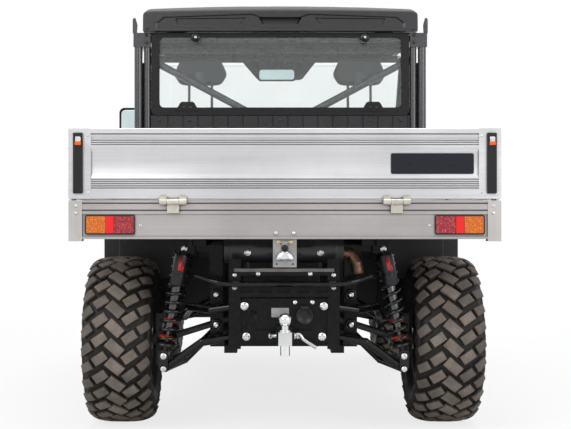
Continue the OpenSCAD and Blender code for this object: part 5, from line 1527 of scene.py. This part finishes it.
for side in both_sides:
    for y in (-0.306, 0.060, 0.430):
        x0, x1 = sorted((side * 0.45, side * 0.54))
        y0, y1 = y - 0.012, y + 0.018
        ring = np.array([(x0, y0), (x1, y0), (x1, y1), (x0, y1)])
        shell = np.concatenate([np.column_stack([ring, np.full(4, z)]) for z in (1.7165, 1.812)])
        pad_parts.append((shell, box_faces))
pads_piece = joined_piece("roof_pads", pad_parts, channel_black, "chassis", "black_plastic", smooth=False)
soften(pads_piece, 0.003, 2)
heads = [dome_screw((side * 0.626, back_y + 0.0005, 1.7385), rearward, 0.013) for side in both_sides]
joined_piece("roof_screws", heads, black_zinc, "chassis", "frame_paint")

# ---------------------------------------------------------------------------------------------
# Windows: tinted safety glass. The rear pane sits in a black rubber-lipped frame with two turn
# knobs at the top and two bolted tabs at the bottom; the windscreen rests on the front pillars.
# ---------------------------------------------------------------------------------------------
def glass_finish(name, tint, through, gloss):
    """Tinted glass with a faint film: colour and roughness vary over the pane, the rest is constant."""
    values = coated_look(tint, 0.015, 40.0, 0.012, 0.008, 0.02, (0.8, 0.86, 0.85, 1.0))
    return make_finish(
        name, coated, values, bump=0.0, transmission_weight=through, ior=1.45, specular_ior_level=gloss,
    )


pane_glass = glass_finish("pane_glass", (0.935, 0.980, 0.975, 1.0), 0.96, 0.4)
screen_glass = glass_finish("screen_glass", (0.99, 0.998, 0.995, 1.0), 0.99, 0.08)
finished_copy("rear_window", "chassis", pane_glass, 0.0)
finished_copy("windscreen", "chassis", screen_glass, 0.0)
gasket_values = {**trim_values, "Colour": (0.006, 0.006, 0.0068, 1.0), "Rough": 0.3, "Dust": 0.03}
gasket_black = make_finish("gasket_black", coated, gasket_values, bump=0.00006, specular_ior_level=0.3)
finished_copy("rear_window_frame", "chassis", gasket_black, 0.004, 3)
tabs, tab_bolts, knob_caps, knob_screws = [], [], [], []
for side in both_sides:
    tab = np.array([
        (-0.062, -0.020), (0.062, -0.020), (0.050, -0.010), (0.034, 0.018), (0.026, 0.024), (-0.026, 0.024),
        (-0.034, 0.018), (-0.050, -0.010),
    ])
    tabs.append(rear_plate(tab, (side * 0.441, -0.3448, 1.372), 0.005, inset=0.002))
    tab_bolts += [
        dome_screw((side * (0.441 + lean), -0.3500, 1.368), rearward, 0.014) for lean in (-0.0155, 0.0155)
    ]
    knob = [(0.0225, 0.0), (0.0225, 0.009), (0.019, 0.012), (0.013, 0.012), (0.011, 0.0145), (0.002, 0.0152)]
    knob_caps.append(turned_part(knob, (side * 0.400, -0.3600, 1.697), rearward, 32))
    knob_screws.append(dome_screw((side * 0.400, -0.3750, 1.697), rearward, 0.014))
joined_piece("window_tabs", tabs, gasket_black, "chassis", "black_plastic", smooth=False)
joined_piece("window_knobs", knob_caps, gasket_black, "chassis", "black_plastic")
joined_piece("window_bolts", tab_bolts, black_zinc, "chassis", "bright_steel")
joined_piece("window_knob_screws", knob_screws, bright_zinc, "chassis", "bright_steel")
seal_strips = [round_plate(1.222, 0.012, 0.002, (0.0, -0.3330, 1.330), 0.005, 0.001)]
seal_strips += [
    round_plate(0.080, 0.660, 0.004, (side * 0.649, -0.2680, 1.260), 0.005, 0.001) for side in both_sides
]
joined_piece("cab_seals", seal_strips, gasket_black, "chassis", "black_plastic", smooth=False)

# ---------------------------------------------------------------------------------------------
# Mirrors: black moulded housings with silvered glass; the inside one hangs on a dark shroud from
# the header, the outside one on an arm from the left front pillar.
# ---------------------------------------------------------------------------------------------
mirror_values = {
    **chrome_values, "Colour": (0.62, 0.74, 0.75, 1.0), "Rough": 0.02, "Rough spread": 0.01, "Dust": 0.05,
}
mirror_silver = make_finish("mirror_silver", coated, mirror_values, bump=0.0, metallic=1.0)
finished_copy("interior_mirror", "chassis", trim_black, 0.005, 3)
finished_copy("side_mirror", "chassis", arm_gloss, 0.004, 3)
inner_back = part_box("interior_mirror")[0][1]
side_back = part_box("side_mirror")[0][1]
inner_z = 1.6175
inner_tilt = math.radians(6.0)
points, faces = round_plate(0.188, 0.054, 0.014, (-0.008, inner_back - 0.0026, inner_z), 0.0012, 0.0008)
points = np.asarray(points, dtype=float)
points[:, 1] -= (points[:, 2] - inner_z) * math.tan(inner_tilt)
new_piece("interior_mirror_glass", points, faces, mirror_silver, "chassis", "bright_steel", smooth=False)
joined_piece(
    "side_mirror_glass",
    [round_plate(0.104, 0.124, 0.020, (-0.785, side_back + 0.0002, 1.355), 0.0012, 0.0008)], mirror_silver,
    "chassis", "bright_steel", smooth=False,
)
shroud = np.array([
    (-0.616, 0.098), (-0.616, 0.0795), (-0.662, 0.0795), (-0.662, 0.056), (-0.225, 0.054), (-0.195, 0.046),
    (-0.118, -0.044), (-0.104, -0.052),
    (0.118, -0.052), (0.134, -0.044), (0.205, 0.046), (0.235, 0.054), (0.662, 0.056), (0.662, 0.0795),
    (0.616, 0.0795), (0.616, 0.098),
])
new_piece(
    "mirror_shroud", *rear_plate(shroud, (0.0, 0.4520, 1.645), 0.006, inset=0.002), gasket_black, "chassis",
    "black_plastic", smooth=False,
)

# ---------------------------------------------------------------------------------------------
# Tow hitch: a square receiver with a black forged tongue, a plated ball on a shank with its nut,
# a clear-zinc hitch pin with a bent grip to the right, and the round trailer socket above.
# ---------------------------------------------------------------------------------------------
finished_copy("tow_hitch", "chassis", frame_paint, 0.002, 2)
finished_copy("tow_ball", "chassis", chrome, 0.0008, 1)
pin_y, pin_z = -1.462, 0.405
grip_t = np.linspace(0.0, 1.0, 24)
grip_drop = 0.044 * np.clip((grip_t - 0.28) / 0.72, 0, 1) ** 0.8
grip_rise = 0.006 * np.sin(math.pi * np.clip(grip_t * 2.4, 0, 1))
grip = np.stack([0.034 + 0.086 * grip_t, pin_y - 0.012 * grip_t, pin_z - grip_drop + grip_rise], axis=1)
pin = [
    swept_tube(grip, 0.0068, 18),
    swept_tube([(-0.058, pin_y, pin_z), (0.0, pin_y, pin_z), (0.036, pin_y, pin_z)], 0.0066, 18),
]
pin.append(turned_part(
    [(0.0066, 0.0), (0.011, 0.002), (0.011, 0.006), (0.0066, 0.008)], (-0.052, pin_y, pin_z), (-1, 0, 0), 20,
))
pin.append(turned_part(
    [(0.0066, 0.0), (0.013, 0.002), (0.013, 0.009), (0.0066, 0.011)], (0.032, pin_y, pin_z), (1, 0, 0), 20,
))
joined_piece("hitch_pin", pin, bright_zinc, "chassis", "bright_steel")
socket = [(0.033, 0.0), (0.033, 0.006), (0.030, 0.009), (0.0285, 0.009), (0.0275, 0.0065), (0.004, 0.0065)]
turned = [turned_part(socket, (0.077, -1.4080, 0.474), rearward, 40)]
turned.append(round_plate(0.030, 0.012, 0.003, (0.077, -1.4140, 0.507), 0.008, 0.001))
joined_piece("trailer_socket_cap", turned, channel_black, "chassis", "black_plastic")
plate_rim = round_plate(0.078, 0.040, 0.004, (-0.010, bulkhead_back + 0.0018, 0.487), 0.0016, 0.0006)
new_piece("blank_data_plate", *plate_rim, galvanised, "chassis", "galvanised", smooth=False)
